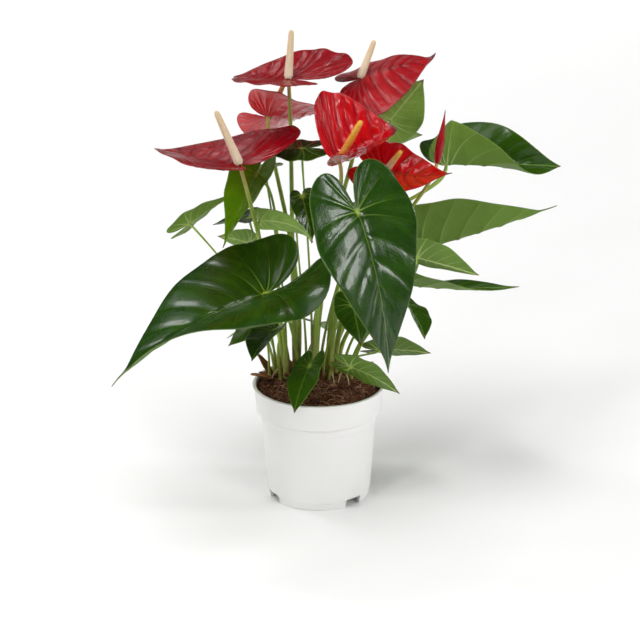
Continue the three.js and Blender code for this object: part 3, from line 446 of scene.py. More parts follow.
def blade_tree():
    """Gives a blade's sheet its relief and thickness: sunken veins, quilting between them, a fine margin."""
    tree, given = new_tree("Blade", {
        "Thickness": NUMBER, "Margin": NUMBER, "Vein depth": NUMBER, "Vein width": NUMBER, "Quilting": NUMBER,
        "Wrinkles": NUMBER, "Cell length": NUMBER, "Cell share": NUMBER, "Seed": NUMBER, "Upper": FINISH,
        "Under": FINISH})
    sheet = given["Geometry"]
    vein, across, gap = split(tree, named(tree, "vein"))
    flat_x, flat_y, run = split(tree, named(tree, "flat"))
    rim = Field(named(tree, "rim", "FLOAT"))
    noise = add(tree, "ShaderNodeTexNoise", {
        "Vector": combine(tree, flat_x, flat_y, 0.0), "W": given["Seed"], "Scale": PATCHES, "Detail": 2.0},
        noise_dimensions="4D")
    uneven = Field(noise.outputs[0]) - 0.5

    between = vein.math("FRACT")
    nearest = (0.5 - (between - 0.5).math("ABSOLUTE")) * gap
    fade = rim.smooth(0.0, RELIEF_FULL) * gap.smooth(RELIEF_NONE, RELIEF_FULL)
    groove = (-1.0 * (nearest / given["Vein width"]) ** 2.0).math("EXPONENT") * gap.smooth(0.0, GROOVE_GAP)
    pillow = (between * math.pi).math("SINE") ** PILLOW_POWER * fade
    row = vein.math("FLOOR")
    start = (row * ROW_STEP + given["Seed"]).math("SINE") * ROW_SHIFT
    cell = (run * across) / given["Cell length"] + start + uneven * UNEVENNESS
    bulge = (cell * math.pi).math("SINE").math("ABSOLUTE") ** BULGE_POWER
    share = Field(given["Cell share"])
    height = Field(given["Quilting"]) * (1.0 + uneven * UNEVENNESS)
    folds = add(tree, "ShaderNodeTexNoise", {
        "Vector": combine(tree, vein * FOLD_STEP, run * across / given["Cell length"], flat_y.math("SIGN")),
        "W": given["Seed"], "Scale": 1.0, "Detail": 2.5}, noise_dimensions="4D")
    wrinkle = (Field(folds.outputs[0]) - 0.5) * given["Wrinkles"] * fade
    relief = height * pillow * (1.0 - share + share * bulge) + wrinkle
    relief = relief - groove * given["Vein depth"] * rim.smooth(0.0, GROOVE_RIM)

    edge = 1.0 - (rim / given["Margin"]).math("MINIMUM", 1.0)
    half = Field(given["Thickness"]) * 0.5 * (1.0 - edge * edge).math("MAXIMUM", 0.0).math("SQRT")
    normal = add(tree, "GeometryNodeInputNormal").outputs[0]
    faces = []
    for face, finish in ((relief + half, "Upper"), (relief - half, "Under")):
        offset = scaled(tree, normal, face)
        side = add(tree, "GeometryNodeSetPosition", {"Geometry": sheet, "Offset": offset}).outputs[0]
        if finish == "Under":
            side = add(tree, "GeometryNodeFlipFaces", {0: side}).outputs[0]
        smooth = add(tree, "GeometryNodeSetShadeSmooth", {"Geometry": side})
        faces.append(add(tree, "GeometryNodeSetMaterial",
                         {"Geometry": smooth.outputs[0], "Material": given[finish]}).outputs[0])
    both = add(tree, "GeometryNodeJoinGeometry")
    for face in faces:
        tree.links.new(face, both.inputs[0])
    at_margin = add(tree, "FunctionNodeCompare", {0: rim, 1: MERGE_DISTANCE / 10},
                    operation="LESS_THAN", data_type="FLOAT")
    closed = add(tree, "GeometryNodeMergeByDistance",
                 {"Geometry": both.outputs[0], "Selection": at_margin.outputs[0], "Distance": MERGE_DISTANCE})
    real = add(tree, "GeometryNodeRealizeInstances", {"Geometry": closed.outputs[0]})
    add(tree, "NodeGroupOutput", {0: real.outputs[0]})
    return tree


def stalk_tree():
    """Sweeps a round, tapering stem along a line, a little thicker at its foot and at its knee."""
    tree, given = new_tree("Stalk", {
        "Foot radius": NUMBER, "Top radius": NUMBER, "Knee": NUMBER, "Flare": NUMBER, "Sides": COUNT,
        "Finish": FINISH})
    line = add(tree, "GeometryNodeMeshToCurve", {"Mesh": given["Geometry"]})
    share = Field(add(tree, "GeometryNodeSplineParameter").outputs["Factor"])
    foot, top = Field(given["Foot radius"]), Field(given["Top radius"])
    knee = share.smooth(KNEE_START, KNEE_FULL) * share.smooth(1.0, KNEE_FADE) * given["Knee"]
    flare = share.smooth(FLARE_END, 0.0) * given["Flare"]
    radius = foot + (top - foot) * share + knee + flare
    marked = stored(tree, line.outputs[0], "height", share)
    ring = add(tree, "GeometryNodeCurvePrimitiveCircle", {"Resolution": given["Sides"], "Radius": 1.0})
    tube = add(tree, "GeometryNodeCurveToMesh",
               {"Curve": marked, "Profile Curve": ring.outputs[0], "Scale": radius, "Fill Caps": True})
    close_tree(tree, tube.outputs[0], given["Finish"])
    return tree


def spadix_tree():
    """A tapering rod, packed with florets in spirals."""
    tree, given = new_tree("Spadix", {
        "Length": NUMBER, "Radius": NUMBER, "Taper": NUMBER, "Floret": NUMBER, "Finish": FINISH})
    length, radius, floret = (Field(given[key]) for key in ("Length", "Radius", "Floret"))

    def thickness(share):
        tip = (1.0 - share.smooth(TIP_START, 1.02) ** 2.0).math("SQRT")
        neck = NECK_WIDTH + (1.0 - NECK_WIDTH) * share.smooth(0.0, NECK_HEIGHT)
        return radius * (1.0 - share * given["Taper"]) * tip * neck

    line = add(tree, "GeometryNodeCurvePrimitiveLine", {"End": combine(tree, 0.0, 0.0, length)})
    fine = add(tree, "GeometryNodeResampleCurve", {"Curve": line.outputs[0], "Count": 40})
    share = Field(add(tree, "GeometryNodeSplineParameter").outputs["Factor"])
    marked = stored(tree, fine.outputs[0], "height", share)
    ring = add(tree, "GeometryNodeCurvePrimitiveCircle", {"Resolution": 20, "Radius": 1.0})
    rod = add(tree, "GeometryNodeCurveToMesh", {
        "Curve": marked, "Profile Curve": ring.outputs[0], "Fill Caps": True,
        "Scale": thickness(share) - floret * FLORET_SUNK})

    count = (length * radius * (math.tau * FLORET_PACKING) / (floret * floret)).math("FLOOR")
    index = Field(add(tree, "GeometryNodeInputIndex").outputs[0])
    along = (index + 0.5) / count
    angle = index * GOLDEN_ANGLE
    tilt = along.smooth(FLORET_TILT_START, 1.0) * FLORET_TILT
    level = tilt.math("COSINE")
    outwards = combine(tree, angle.math("COSINE") * level, angle.math("SINE") * level, tilt.math("SINE"))
    reach = thickness(along)
    place = combine(tree, angle.math("COSINE") * reach, angle.math("SINE") * reach, along * length)
    points = add(tree, "GeometryNodePoints", {"Count": count, "Position": place})
    shaded = stored(tree, points.outputs[0], "height", along)
    bump = add(tree, "GeometryNodeMeshUVSphere", {"Segments": 6, "Rings": 4, "Radius": 0.5})
    smooth = add(tree, "GeometryNodeSetShadeSmooth", {"Geometry": bump.outputs[0]})
    tall = stored(tree, smooth.outputs[0], "crest",
                  split(tree, add(tree, "GeometryNodeInputPosition").outputs[0])[2] * 2.0)
    size = floret * (1.0 - along * given["Taper"] * FLORET_SHRINK)
    copies = add(tree, "GeometryNodeInstanceOnPoints", {
        "Points": shaded, "Instance": tall, "Rotation": turned(tree, outwards),
        "Scale": combine(tree, size, size * FLORET_WIDE, size * FLORET_TALL)})
    both = add(tree, "GeometryNodeJoinGeometry")
    for part in (rod.outputs[0], copies.outputs[0]):
        tree.links.new(part, both.inputs[0])
    close_tree(tree, both.outputs[0], given["Finish"])
    return tree


def soil_tree():
    """Strews crumbs and fibres over the soil's surface."""
    tree, given = new_tree("Soil", {
        "Crumb spacing": NUMBER, "Crumb size": NUMBER, "Fibre spacing": NUMBER, "Fibre length": NUMBER,
        "Fibre radius": NUMBER, "Seed": COUNT, "Finish": FINISH})
    ground = given["Geometry"]
    lift = split(tree, add(tree, "GeometryNodeInputNormal").outputs[0])[2]
    x, y, level = split(tree, add(tree, "GeometryNodeInputPosition").outputs[0])
    from_axis = ((x - POT_AXIS[0] * MM) ** 2.0 + y * y).math("SQRT")
    top = lift.math("GREATER_THAN", 0.5) * level.math("GREATER_THAN", (SOIL_EDGE_Z - 6) * MM)

    def strewn(spacing, offset, from_wall):
        """Points on the surface, clear of the wall, and the seed that they were strewn with."""
        seed = Field(given["Seed"]) + offset
        inside = from_axis.math("LESS_THAN", (BAND_TOP_RADIUS - POT_WALL) * MM - from_wall)
        node = add(tree, "GeometryNodeDistributePointsOnFaces", {
            "Mesh": ground, "Selection": top * inside, "Distance Min": spacing,
            "Density Max": STREWN_DENSITY, "Seed": seed}, distribute_method="POISSON")
        return node.outputs["Points"], seed

    def drawn(kind, limits, seed):
        """A random number or vector between two limits."""
        node = add(tree, "FunctionNodeRandomValue", data_type=kind)
        low, high, result = {"FLOAT": (2, 3, 1), "FLOAT_VECTOR": (0, 1, 0)}[kind]
        feed(limits[0], node.inputs[low])
        feed(limits[1], node.inputs[high])
        feed(seed, node.inputs["Seed"])
        return node.outputs[result]

    crumbs, seed = strewn(given["Crumb spacing"], 0.0, Field(given["Crumb size"]) * 1.6)
    crumbs = stored(tree, crumbs, "shade", drawn("FLOAT", CRUMB_SHADES, seed + 1.0))
    lump = add(tree, "GeometryNodeMeshIcoSphere", {"Radius": 1.0, "Subdivisions": 1})
    turn = add(tree, "FunctionNodeEulerToRotation", {0: drawn("FLOAT_VECTOR", ANY_TURN, seed + 2.0)})
    girth = scaled(tree, drawn("FLOAT_VECTOR", CRUMB_SIZES, seed + 3.0), given["Crumb size"])
    lumps = add(tree, "GeometryNodeInstanceOnPoints", {
        "Points": crumbs, "Instance": lump.outputs[0], "Rotation": turn.outputs[0], "Scale": girth})

    fibres, seed = strewn(given["Fibre spacing"], 50.0, Field(given["Fibre length"]) * 0.8)
    fibres = stored(tree, fibres, "shade", drawn("FLOAT", FIBRE_SHADES, seed + 1.0))
    arc = add(tree, "GeometryNodeCurveQuadraticBezier", {
        "Resolution": 6, "Start": (-0.5, 0, -0.06), "Middle": (0.05, 0.35, 0.3), "End": (0.5, 0, -0.05)})
    ring = add(tree, "GeometryNodeCurvePrimitiveCircle", {"Resolution": 3, "Radius": 1.0})
    slim = Field(given["Fibre radius"]) / given["Fibre length"]
    strand = add(tree, "GeometryNodeCurveToMesh", {
        "Curve": arc.outputs[0], "Profile Curve": ring.outputs[0], "Scale": slim, "Fill Caps": True})
    turn = add(tree, "FunctionNodeEulerToRotation", {0: drawn("FLOAT_VECTOR", LYING_TURN, seed + 2.0)})
    grown = scaled(tree, drawn("FLOAT_VECTOR", FIBRE_SIZES, seed + 3.0), given["Fibre length"])
    strands = add(tree, "GeometryNodeInstanceOnPoints", {
        "Points": fibres, "Instance": strand.outputs[0], "Rotation": turn.outputs[0], "Scale": grown})

    both = add(tree, "GeometryNodeJoinGeometry")
    for part in (ground, lumps.outputs[0], strands.outputs[0]):
        tree.links.new(part, both.inputs[0])
    real = add(tree, "GeometryNodeRealizeInstances", {"Geometry": both.outputs[0]})
    done = add(tree, "GeometryNodeSetMaterial", {"Geometry": real.outputs[0], "Material": given["Finish"]})
    add(tree, "NodeGroupOutput", {0: done.outputs[0]})
    return tree


def turning_tree():
    """Turns a profile, drawn as radius and height from axis to axis, round the upright axis."""
    tree, given = new_tree("Turned pot", {"Sides": COUNT, "Finish": FINISH})
    domain = add(tree, "GeometryNodeAttributeDomainSize", {0: given["Geometry"]})
    corners = Field(domain.outputs["Point Count"])
    sides = Field(given["Sides"])
    net = add(tree, "GeometryNodeMeshGrid", {
        "Size X": 1.0, "Size Y": 1.0, "Vertices X": corners, "Vertices Y": sides + 1.0})
    place = add(tree, "GeometryNodeInputPosition").outputs[0]
    u, v, _ = split(tree, place)
    corner = ((u + 0.5) * (corners - 1.0)).math("ROUND")
    point = add(tree, "GeometryNodeSampleIndex",
                {"Geometry": given["Geometry"], "Index": corner}, data_type="FLOAT_VECTOR")
    feed(place, point.inputs["Value"])
    radius, _, height = split(tree, point.outputs[0])
    angle = (v + 0.5) * math.tau
    turned_point = combine(tree, radius * angle.math("SINE"), radius * angle.math("COSINE"), height)
    wall = add(tree, "GeometryNodeSetPosition", {"Geometry": net.outputs[0], "Position": turned_point})
    closed = add(tree, "GeometryNodeMergeByDistance",
                 {"Geometry": wall.outputs[0], "Distance": MERGE_DISTANCE})
    close_tree(tree, closed.outputs[0], given["Finish"])
    return tree


def grow(source, tree, **values):
    """The plain mesh that a tree makes of a source mesh. Words in values name the tree's inputs."""
    carrier = bpy.data.objects.new("carrier", source)
    bpy.context.scene.collection.objects.link(carrier)
    modifier = carrier.modifiers.new(tree.name, "NODES")
    modifier.node_group = tree
    for item in tree.interface.items_tree:
        key = item.name.lower().replace(" ", "_")
        if item.in_out == "INPUT" and key in values:
            modifier[item.identifier] = values[key]
    ready = carrier.evaluated_get(bpy.context.evaluated_depsgraph_get())
    mesh = bpy.data.meshes.new_from_object(ready)
    carrier.modifiers.remove(modifier)
    bpy.data.objects.remove(carrier)
    bpy.data.meshes.remove(source)
    return mesh


# ---- Materials -------------------------------------------------------------------------------------------
def colour(red, green, blue):
    """A colour for a socket, from its 0 to 255 numbers as a screen shows it."""
    linear = [(c / 255 / 12.92 if c < 11 else ((c / 255 + 0.055) / 1.055) ** 2.4) for c in (red, green, blue)]
    return (*linear, 1.0)


def mixed(tree, share, first, second):
    """A colour between two others."""
    return add(tree, "ShaderNodeMix", {0: share, 6: first, 7: second}, data_type="RGBA").outputs[2]


def speckle(tree, vector, scale, detail=3.0):
    """Soft noise from 0 to 1."""
    noise = add(tree, "ShaderNodeTexNoise", {"Vector": vector, "Scale": scale, "Detail": detail})
    return Field(noise.outputs[0])


def attribute(tree, name, output="Vector"):
    """Reads an attribute of the mesh in a material."""
    return add(tree, "ShaderNodeAttribute", attribute_name=name).outputs[output]


def place(tree):
    """Object coordinates."""
    return add(tree, "ShaderNodeTexCoord").outputs["Object"]


def new_material(name, numbers):
    """A material whose shader already has the numbers that are the same all over."""
    material = bpy.data.materials.new(name)
    material.use_nodes = True
    tree = material.node_tree
    shader = tree.nodes["Principled BSDF"]
    for label, value in numbers.items():
        shader.inputs[label].default_value = value
    return material, tree, shader


def bumped(tree, shader, height, distance):
    """Raises the look of the surface by a height from 0 to 1 times a distance in metres."""
    bump = add(tree, "ShaderNodeBump", {"Height": height, "Strength": 1.0, "Distance": distance})
    feed(bump.outputs[0], shader.inputs["Normal"])


def blade_marks(tree, vein_width):
    """Where a point lies on a blade: on or beside a side vein, on the midrib, at the hub, the margin or the
    tip, in the fine net, in a streak along the veins. With them goes the blade's tone."""
    number, across, gap = split(tree, attribute(tree, "vein"))
    flat_x, flat_y, _ = split(tree, attribute(tree, "flat"))
    tone, tip, _ = split(tree, attribute(tree, "kind"))
    rim = Field(attribute(tree, "rim", "Fac"))
    width = vein_width * (1.25 - across)
    nearest = (0.5 - (number.math("FRACT") - 0.5).math("ABSOLUTE")) * gap
    cells = add(tree, "ShaderNodeTexVoronoi", {"Vector": combine(tree, flat_x, flat_y, 0.0), "Scale": 420.0},
                feature="DISTANCE_TO_EDGE")
    from_hub = (flat_x * flat_x + flat_y * flat_y).math("SQRT")
    along_veins = combine(tree, number * 3.0, across * 2.0, flat_y.math("SIGN") + tone)
    return {
        "valley": 1.0 - (nearest / (vein_width * 3.0)).smooth(0.0, 1.0),
        "streaks": speckle(tree, along_veins, 1.0),
        "tone": tone,
        "side": 1.0 - (nearest / width).smooth(0.25, 1.0),
        "basal": (1.0 - number.smooth(4.4, 5.6)) * (1.0 - from_hub.smooth(0.006, 0.045)),
        "midrib": (1.0 - flat_y.math("ABSOLUTE").smooth(0.0003, 0.0010)) * flat_x.smooth(-0.0005, 0.0005),
        "net": 1.0 - Field(cells.outputs["Distance"]).smooth(0.0, 0.16),
        "hub": 1.0 - from_hub.smooth(0.0008, 0.0045),
        "margin": 1.0 - rim.smooth(0.0001, 0.0008),
        "tip": 1.0 - tip.smooth(0.0015, 0.0060),
    }


def leaf_upper():
    """The glossy upper face: dark green, its midrib and the roots of its main veins paler."""
    material, tree, shader = new_material("leaf upper face", {
        "Coat Weight": 0.1, "Coat Roughness": 0.06, "Specular IOR Level": 0.2})
    marks = blade_marks(tree, 0.0008)
    tone = marks["tone"]
    green = mixed(tree, tone.smooth(0.0, 0.55), colour(21, 51, 2), colour(66, 102, 10))
    green = mixed(tree, tone.smooth(0.55, 1.0), green, colour(96, 142, 0))
    patches = speckle(tree, place(tree), 38.0)
    green = mixed(tree, patches.smooth(0.35, 0.75) * 0.4, green, colour(42, 80, 6))
    green = mixed(tree, marks["streaks"].smooth(0.45, 0.75) * 0.3, green, colour(54, 92, 10))
    green = mixed(tree, marks["net"] * 0.10, green, colour(70, 112, 30))
    lines = (marks["side"] * (0.10 + 0.5 * marks["basal"])).math("MAXIMUM", marks["midrib"] * 0.5)
    green = mixed(tree, lines, green, colour(118, 150, 54))
    green = mixed(tree, marks["hub"] * 0.85, green, colour(164, 186, 70))
    green = mixed(tree, marks["margin"] * 0.5, green, colour(128, 152, 66))
    feed(mixed(tree, marks["tip"], green, colour(96, 70, 42)), shader.inputs["Base Color"])
    feed(0.14 + 0.14 * speckle(tree, place(tree), 160.0) + 0.25 * marks["tip"], shader.inputs["Roughness"])
    grain = marks["net"] * -0.4 + speckle(tree, place(tree), 420.0) * 0.6
    bumped(tree, shader, grain, 0.00008)
    return material


def leaf_under():
    """The duller lower face: pale yellow-green, its veins paler still."""
    material, tree, shader = new_material("leaf under face", {"Specular IOR Level": 0.3})
    marks = blade_marks(tree, 0.0010)
    tone = marks["tone"]
    green = mixed(tree, tone.smooth(0.0, 0.6), colour(82, 113, 34), colour(142, 178, 76))
    patches = speckle(tree, place(tree), 30.0)
    green = mixed(tree, patches.smooth(0.3, 0.8) * 0.45, green, colour(84, 116, 32))
    green = mixed(tree, marks["net"] * 0.2, green, colour(78, 108, 34))
    lines = (marks["side"] * (0.25 + 0.5 * marks["basal"])).math("MAXIMUM", marks["midrib"] * 0.9)
    green = mixed(tree, lines, green, colour(178, 200, 120))
    green = mixed(tree, marks["hub"] * 0.8, green, colour(182, 196, 104))
    feed(mixed(tree, marks["tip"], green, colour(110, 84, 52)), shader.inputs["Base Color"])
    feed(0.42 + 0.15 * speckle(tree, place(tree), 120.0), shader.inputs["Roughness"])
    bumped(tree, shader, marks["net"] * 0.6 + lines * 0.6, 0.0001)
    return material


def spathe_face(name, dark, bright, faded, vein, relief):
    """A lacquered face with darker veins, in the tones that the table of blooms gives. The redder tones are
    glossier. relief is the strength of the fine ribs along its veins."""
    material, tree, shader = new_material(name, {"Specular IOR Level": 0.38})
    marks = blade_marks(tree, 0.0009)
    red = mixed(tree, marks["tone"], dark, bright)
    red = mixed(tree, marks["tone"].smooth(1.0, 2.0), red, faded)
    patches = speckle(tree, place(tree), 42.0)
    red = mixed(tree, patches.smooth(0.35, 0.8) * 0.3, red, vein)
    red = mixed(tree, marks["streaks"].smooth(0.45, 0.7) * 0.3, red, vein)
    red = mixed(tree, marks["valley"] * 0.2, red, vein)
    red = mixed(tree, (marks["side"] * 0.22).math("MAXIMUM", marks["midrib"] * 0.3), red, vein)
    red = mixed(tree, marks["net"] * 0.14, red, vein)
    red = mixed(tree, marks["margin"] * 0.6, red, vein)
    red = mixed(tree, marks["hub"] * 0.5, red, colour(170, 90, 60))
    feed(mixed(tree, marks["tip"] * 0.85, red, colour(84, 30, 34)), shader.inputs["Base Color"])
    gloss = marks["tone"].smooth(0.4, 0.9)
    feed(0.22 - 0.14 * gloss + 0.07 * speckle(tree, place(tree), 180.0), shader.inputs["Roughness"])
    ribs = marks["streaks"] * -2.4 * relief
    bumped(tree, shader, marks["net"] * -0.4 + speckle(tree, place(tree), 420.0) * 0.2 + ribs, 0.00012)
    return material


def spadix_material(name, foot, top):
    """Waxy florets, with painted shade in the seams between them, so that each is paler on its crest."""
    material, tree, shader = new_material(name, {"Specular IOR Level": 0.35})
    height = Field(attribute(tree, "height", "Fac"))
    crest = Field(attribute(tree, "crest", "Fac"))
    body = mixed(tree, height.smooth(0.1, 0.95), foot, top)
    # Painted shade: the seams between the florets are darkened, and their crests keep the body's colour.
    seam_shade = mixed(tree, 0.4, body, colour(176, 134, 90))
    body = mixed(tree, crest.smooth(0.2, 0.75), seam_shade, body)
    body = mixed(tree, speckle(tree, place(tree), 300.0).smooth(0.4, 0.8) * 0.2, body, colour(250, 238, 206))
    feed(body, shader.inputs["Base Color"])
    feed(0.45 + 0.2 * speckle(tree, place(tree), 500.0), shader.inputs["Roughness"])
    return material


def stalk_material(name, foot, middle, top):
    """A smooth stem, changing colour from foot to top, with faint streaks and a brown, papery foot."""
    material, tree, shader = new_material(name, {"Specular IOR Level": 0.4})
    height = Field(attribute(tree, "height", "Fac"))
    stretch = add(tree, "ShaderNodeMapping", {"Vector": place(tree), "Scale": (1.0, 1.0, 0.12)}).outputs[0]
    streaks = speckle(tree, stretch, 700.0)
    patches = speckle(tree, place(tree), 60.0)
    body = mixed(tree, height.smooth(0.0, 0.3), foot, middle)
    body = mixed(tree, height.smooth(0.75, 1.0), body, top)
    body = mixed(tree, streaks.smooth(0.35, 0.75) * 0.3, body, colour(190, 206, 110))
    body = mixed(tree, patches.smooth(0.5, 0.75) * 0.35, body, colour(112, 120, 40))
    scales = patches.smooth(0.42, 0.56) * (1.0 - height.smooth(0.05, 0.2))
    body = mixed(tree, scales * 0.8, body, colour(134, 84, 54))
    feed(body, shader.inputs["Base Color"])
    feed(0.34 + 0.2 * streaks, shader.inputs["Roughness"])
    bumped(tree, shader, streaks, 0.00008)
    return material


def pot_material():
    """Satin white plastic with a faint mould grain. Inside, above the soil, it turns brown in patches, partly
    a soil stain and partly painted shade, fading up to the rim.
    """
    material, tree, shader = new_material("white pot plastic", {"Specular IOR Level": 0.4})
    here = place(tree)
    flat_x, flat_y, height = split(tree, here)
    from_axis = ((flat_x - POT_AXIS[0] * MM) ** 2.0 + flat_y * flat_y).math("SQRT")
    slant = (BAND_TOP_RADIUS - BAND_FOOT_RADIUS) / (POT_HEIGHT - BAND_FOOT_Z)
    middle = (BAND_FOOT_RADIUS - POT_WALL / 2) * MM + (height - BAND_FOOT_Z * MM) * slant
    inner = 1.0 - (from_axis - middle).smooth(-0.0002, 0.0002)
    # A soil stain with painted shade: the inner wall is browned in patches, most near the soil, fading up to
    # the rim.
    stain_and_shade = speckle(tree, here, 90.0).smooth(0.3, 0.6)
    stain_and_shade = stain_and_shade * (1.0 - height.smooth((SOIL_EDGE_Z - 1) * MM, POT_HEIGHT * MM))
    stain_and_shade = stain_and_shade * height.math("GREATER_THAN", BAND_FOOT_Z * MM)
    white = mixed(tree, speckle(tree, here, 14.0) * 0.5, colour(243, 242, 241), colour(238, 237, 236))
    feed(mixed(tree, inner * stain_and_shade, white, colour(96, 70, 50)), shader.inputs["Base Color"])
    feed(0.36 + 0.16 * speckle(tree, here, 260.0), shader.inputs["Roughness"])
    bumped(tree, shader, speckle(tree, here, 1400.0, 2.0), 0.00003)
    return material


def soil_material():
    """Peat and bark: brown crumbs, red-brown and straw-coloured fibres."""
    material, tree, shader = new_material("potting soil", {"Specular IOR Level": 0.2})
    shade = Field(attribute(tree, "shade", "Fac"))
    here = place(tree)
    body = mixed(tree, shade.smooth(0.05, 0.6), colour(44, 26, 20), colour(130, 84, 62))
    body = mixed(tree, shade.smooth(0.62, 0.98), body, colour(208, 160, 128))
    body = mixed(tree, speckle(tree, here, 420.0).smooth(0.35, 0.75) * 0.5, body, colour(66, 40, 30))
    feed(body, shader.inputs["Base Color"])
    feed(0.82 + 0.15 * speckle(tree, here, 800.0), shader.inputs["Roughness"])
    bumped(tree, shader, speckle(tree, here, 1500.0, 4.0), 0.0003)
    return material


def sheath_material():
    """Dry, papery bark-brown skin with fibres running its length."""
    material, tree, shader = new_material("dry sheath", {"Specular IOR Level": 0.25})
    along, across, _ = split(tree, attribute(tree, "flat"))
    grain = speckle(tree, combine(tree, along * 0.12, across, 0.0), 1400.0)
    body = mixed(tree, grain.smooth(0.3, 0.7), colour(104, 60, 38), colour(164, 108, 72))
    body = mixed(tree, along.smooth(0.016, 0.034) * 0.6, body, colour(178, 132, 96))
    feed(body, shader.inputs["Base Color"])
    feed(0.6 + 0.25 * grain, shader.inputs["Roughness"])
    bumped(tree, shader, grain, 0.0002)
    return material


LEAF_UPPER = leaf_upper()
LEAF_UNDER = leaf_under()
SPATHE_UPPER = spathe_face("spathe upper face", colour(134, 0, 14), colour(206, 0, 9), colour(224, 34, 42),
                           vein=colour(66, 0, 12), relief=1.0)
SPATHE_UNDER = spathe_face("spathe under face", colour(160, 18, 34), colour(206, 26, 34), colour(226, 44, 52),
                           vein=colour(150, 12, 26), relief=0.3)
CREAM_ROD = spadix_material("cream spadix", colour(250, 238, 214), colour(242, 222, 186))
ORANGE_ROD = spadix_material("orange spadix", colour(236, 142, 14), colour(252, 206, 56))
YELLOW_TIP_ROD = spadix_material(
    "cream spadix with a yellow tip", colour(252, 232, 196), colour(250, 206, 50))
BROWN_ROD = spadix_material("spadix gone brown", colour(170, 98, 36), colour(196, 130, 50))
LEAF_STALK = stalk_material("leaf stalk", colour(186, 186, 106), colour(140, 172, 54), colour(150, 182, 70))
BLOOM_STALK = stalk_material("bloom stalk", colour(176, 176, 98), colour(142, 170, 56), colour(178, 152, 86))
ROOT_PALE = stalk_material("pale root", colour(196, 170, 130), colour(206, 184, 148), colour(150, 110, 80))
POT_WHITE = pot_material()
SOIL_BROWN = soil_material()
SHEATH = sheath_material()


# ---- Blades ----------------------------------------------------------------------------------------------
def outline(edge, share):
    """Points on a half outline, by even share of its listed points."""
    last = len(edge) - 1
    t = np.clip(share, 0, 1) * last
    i = np.minimum(t.astype(int), last - 1)
    f = (t - i)[..., None]
    ends = np.vstack([2 * edge[0] - edge[1], edge, 2 * edge[-1] - edge[-2]])
    a, b, c, d = ends[i], ends[i + 1], ends[i + 2], ends[i + 3]
    return 0.5 * (2 * b + (c - a) * f + (2 * a - 5 * b + 4 * c - d) * f**2 + (3 * b - a - 3 * c + d) * f**3)


def arc(start, turn, end, t):
    """Points at shares t on a curve that sets out for a turning point and comes from it to its end."""
    return (1 - t)**2 * start + 2 * (1 - t) * t * turn + t**2 * end


def across_axes(ahead):
    """Two unit vectors square to a direction that isn't level with Y, and to each other."""
    side = np.cross(ahead, (0.0, 1.0, 0.0))
    side /= np.linalg.norm(side)
    return side, np.cross(ahead, side)


def soft(value, low, high):
    """Runs softly from 0 at low to 1 at high."""
    t = np.clip((value - low) / (high - low), 0, 1)
    return t * t * (3 - 2 * t)


def flat_blade(blade, edge, along, across):
    """Flat points at shares along the margin and shares of the side vein that ends there, and its length."""
    ends = outline(edge, along)
    margin_x = ends[..., 0] * np.where(ends[..., 0] < 0, blade["lobe"], blade["length"])
    margin_y = ends[..., 1] * blade["width"] / 2
    start = blade["length"] * np.clip((along - VEIN_START) / (1 - VEIN_START), 0, 1) ** 1.12
    run = np.hypot(margin_x - start, margin_y)
    bowed = soft(along, 0.2, 0.5) * (1 - soft(along, 0.85, 1))
    bow = VEIN_BOW * bowed * 4 * across * (1 - across) * run
    return start + across * (margin_x - start) - bow, across * margin_y, run


def blade_frame(blade):
    """The blade's own axes as rows: to the tip, to its left, and up out of its glossy face."""
    yaw, pitch, roll = (math.radians(blade[key]) for key in ("yaw", "pitch", "roll"))
    ahead = np.array([math.cos(pitch) * math.cos(yaw), math.cos(pitch) * math.sin(yaw), math.sin(pitch)])
    level = np.array([-math.sin(yaw), math.cos(yaw), 0])
    rise = np.cross(ahead, level)
    left = level * math.cos(roll) + rise * math.sin(roll)
    return np.array([ahead, left, rise * math.cos(roll) - level * math.sin(roll)])


def bent_blade(blade, x, y):
    """Bends flat points, left of the midrib where y is above 0, and sets them in the plant."""
    half = blade["width"] / 2
    steps = (np.arange(BEND_STEPS) + 0.5) / BEND_STEPS

    x = x + blade["thread"] * soft(x / blade["length"], 0.9, 1.0) ** 2

    def slope(u):
        """Angle of the midrib at a distance from the hub."""
        hooked = blade["hook"] * soft(u / blade["length"], 0.9, 1.1)
        ahead = -blade["droop"] * u / blade["length"] - hooked
        return np.radians(np.where(u >= 0, ahead, blade["lift"] * u / blade["lobe"]))

    angles = slope(x[..., None] * steps)
    forward, rise = np.cos(angles).mean(-1) * x, np.sin(angles).mean(-1) * x
    side = np.where(y >= 0, 0, 1)
    fold, curl = (np.radians(blade[key], dtype=float)[side][..., None] for key in ("fold", "curl"))
    t = np.abs(y)[..., None] * steps
    angles = fold * np.clip(t / (FOLD_SHARE * half), 0, 1) + curl * t / half
    out, up = np.cos(angles).mean(-1) * y, np.sin(angles).mean(-1) * np.abs(y)
    ripple = np.sin(2 * np.pi * MARGIN_WAVES * x / blade["length"] + 2.1 * side)
    up = up + blade["wave"] * (y / half) ** 2 * ripple
    turn = math.radians(blade["twist"]) * np.clip(x / blade["length"], 0, 1)
    left, rest = out * np.cos(turn) - up * np.sin(turn), out * np.sin(turn) + up * np.cos(turn)
    angle = slope(x)
    local = np.stack([forward - np.sin(angle) * rest, left, rise + np.cos(angle) * rest], -1)
    return np.array(blade["hub"]) + local @ blade_frame(blade)


def plain_mesh(name, points, faces):
    """A mesh in metres in the part's frame, from points in millimetres from the middle of the pot."""
    mesh = bpy.data.meshes.new(name)
    mesh.from_pydata(((np.asarray(points) + POT_AXIS) * MM).tolist(), [], [tuple(face) for face in faces])
    return mesh


def mark(mesh, name, values):
    """Stores numbers or vectors on the mesh's points."""
    values = np.asarray(values, np.float32)
    kind, field = ("FLOAT", "value") if values.ndim == 1 else ("FLOAT_VECTOR", "vector")
    mesh.attributes.new(name, kind, "POINT").data.foreach_set(field, values.ravel())


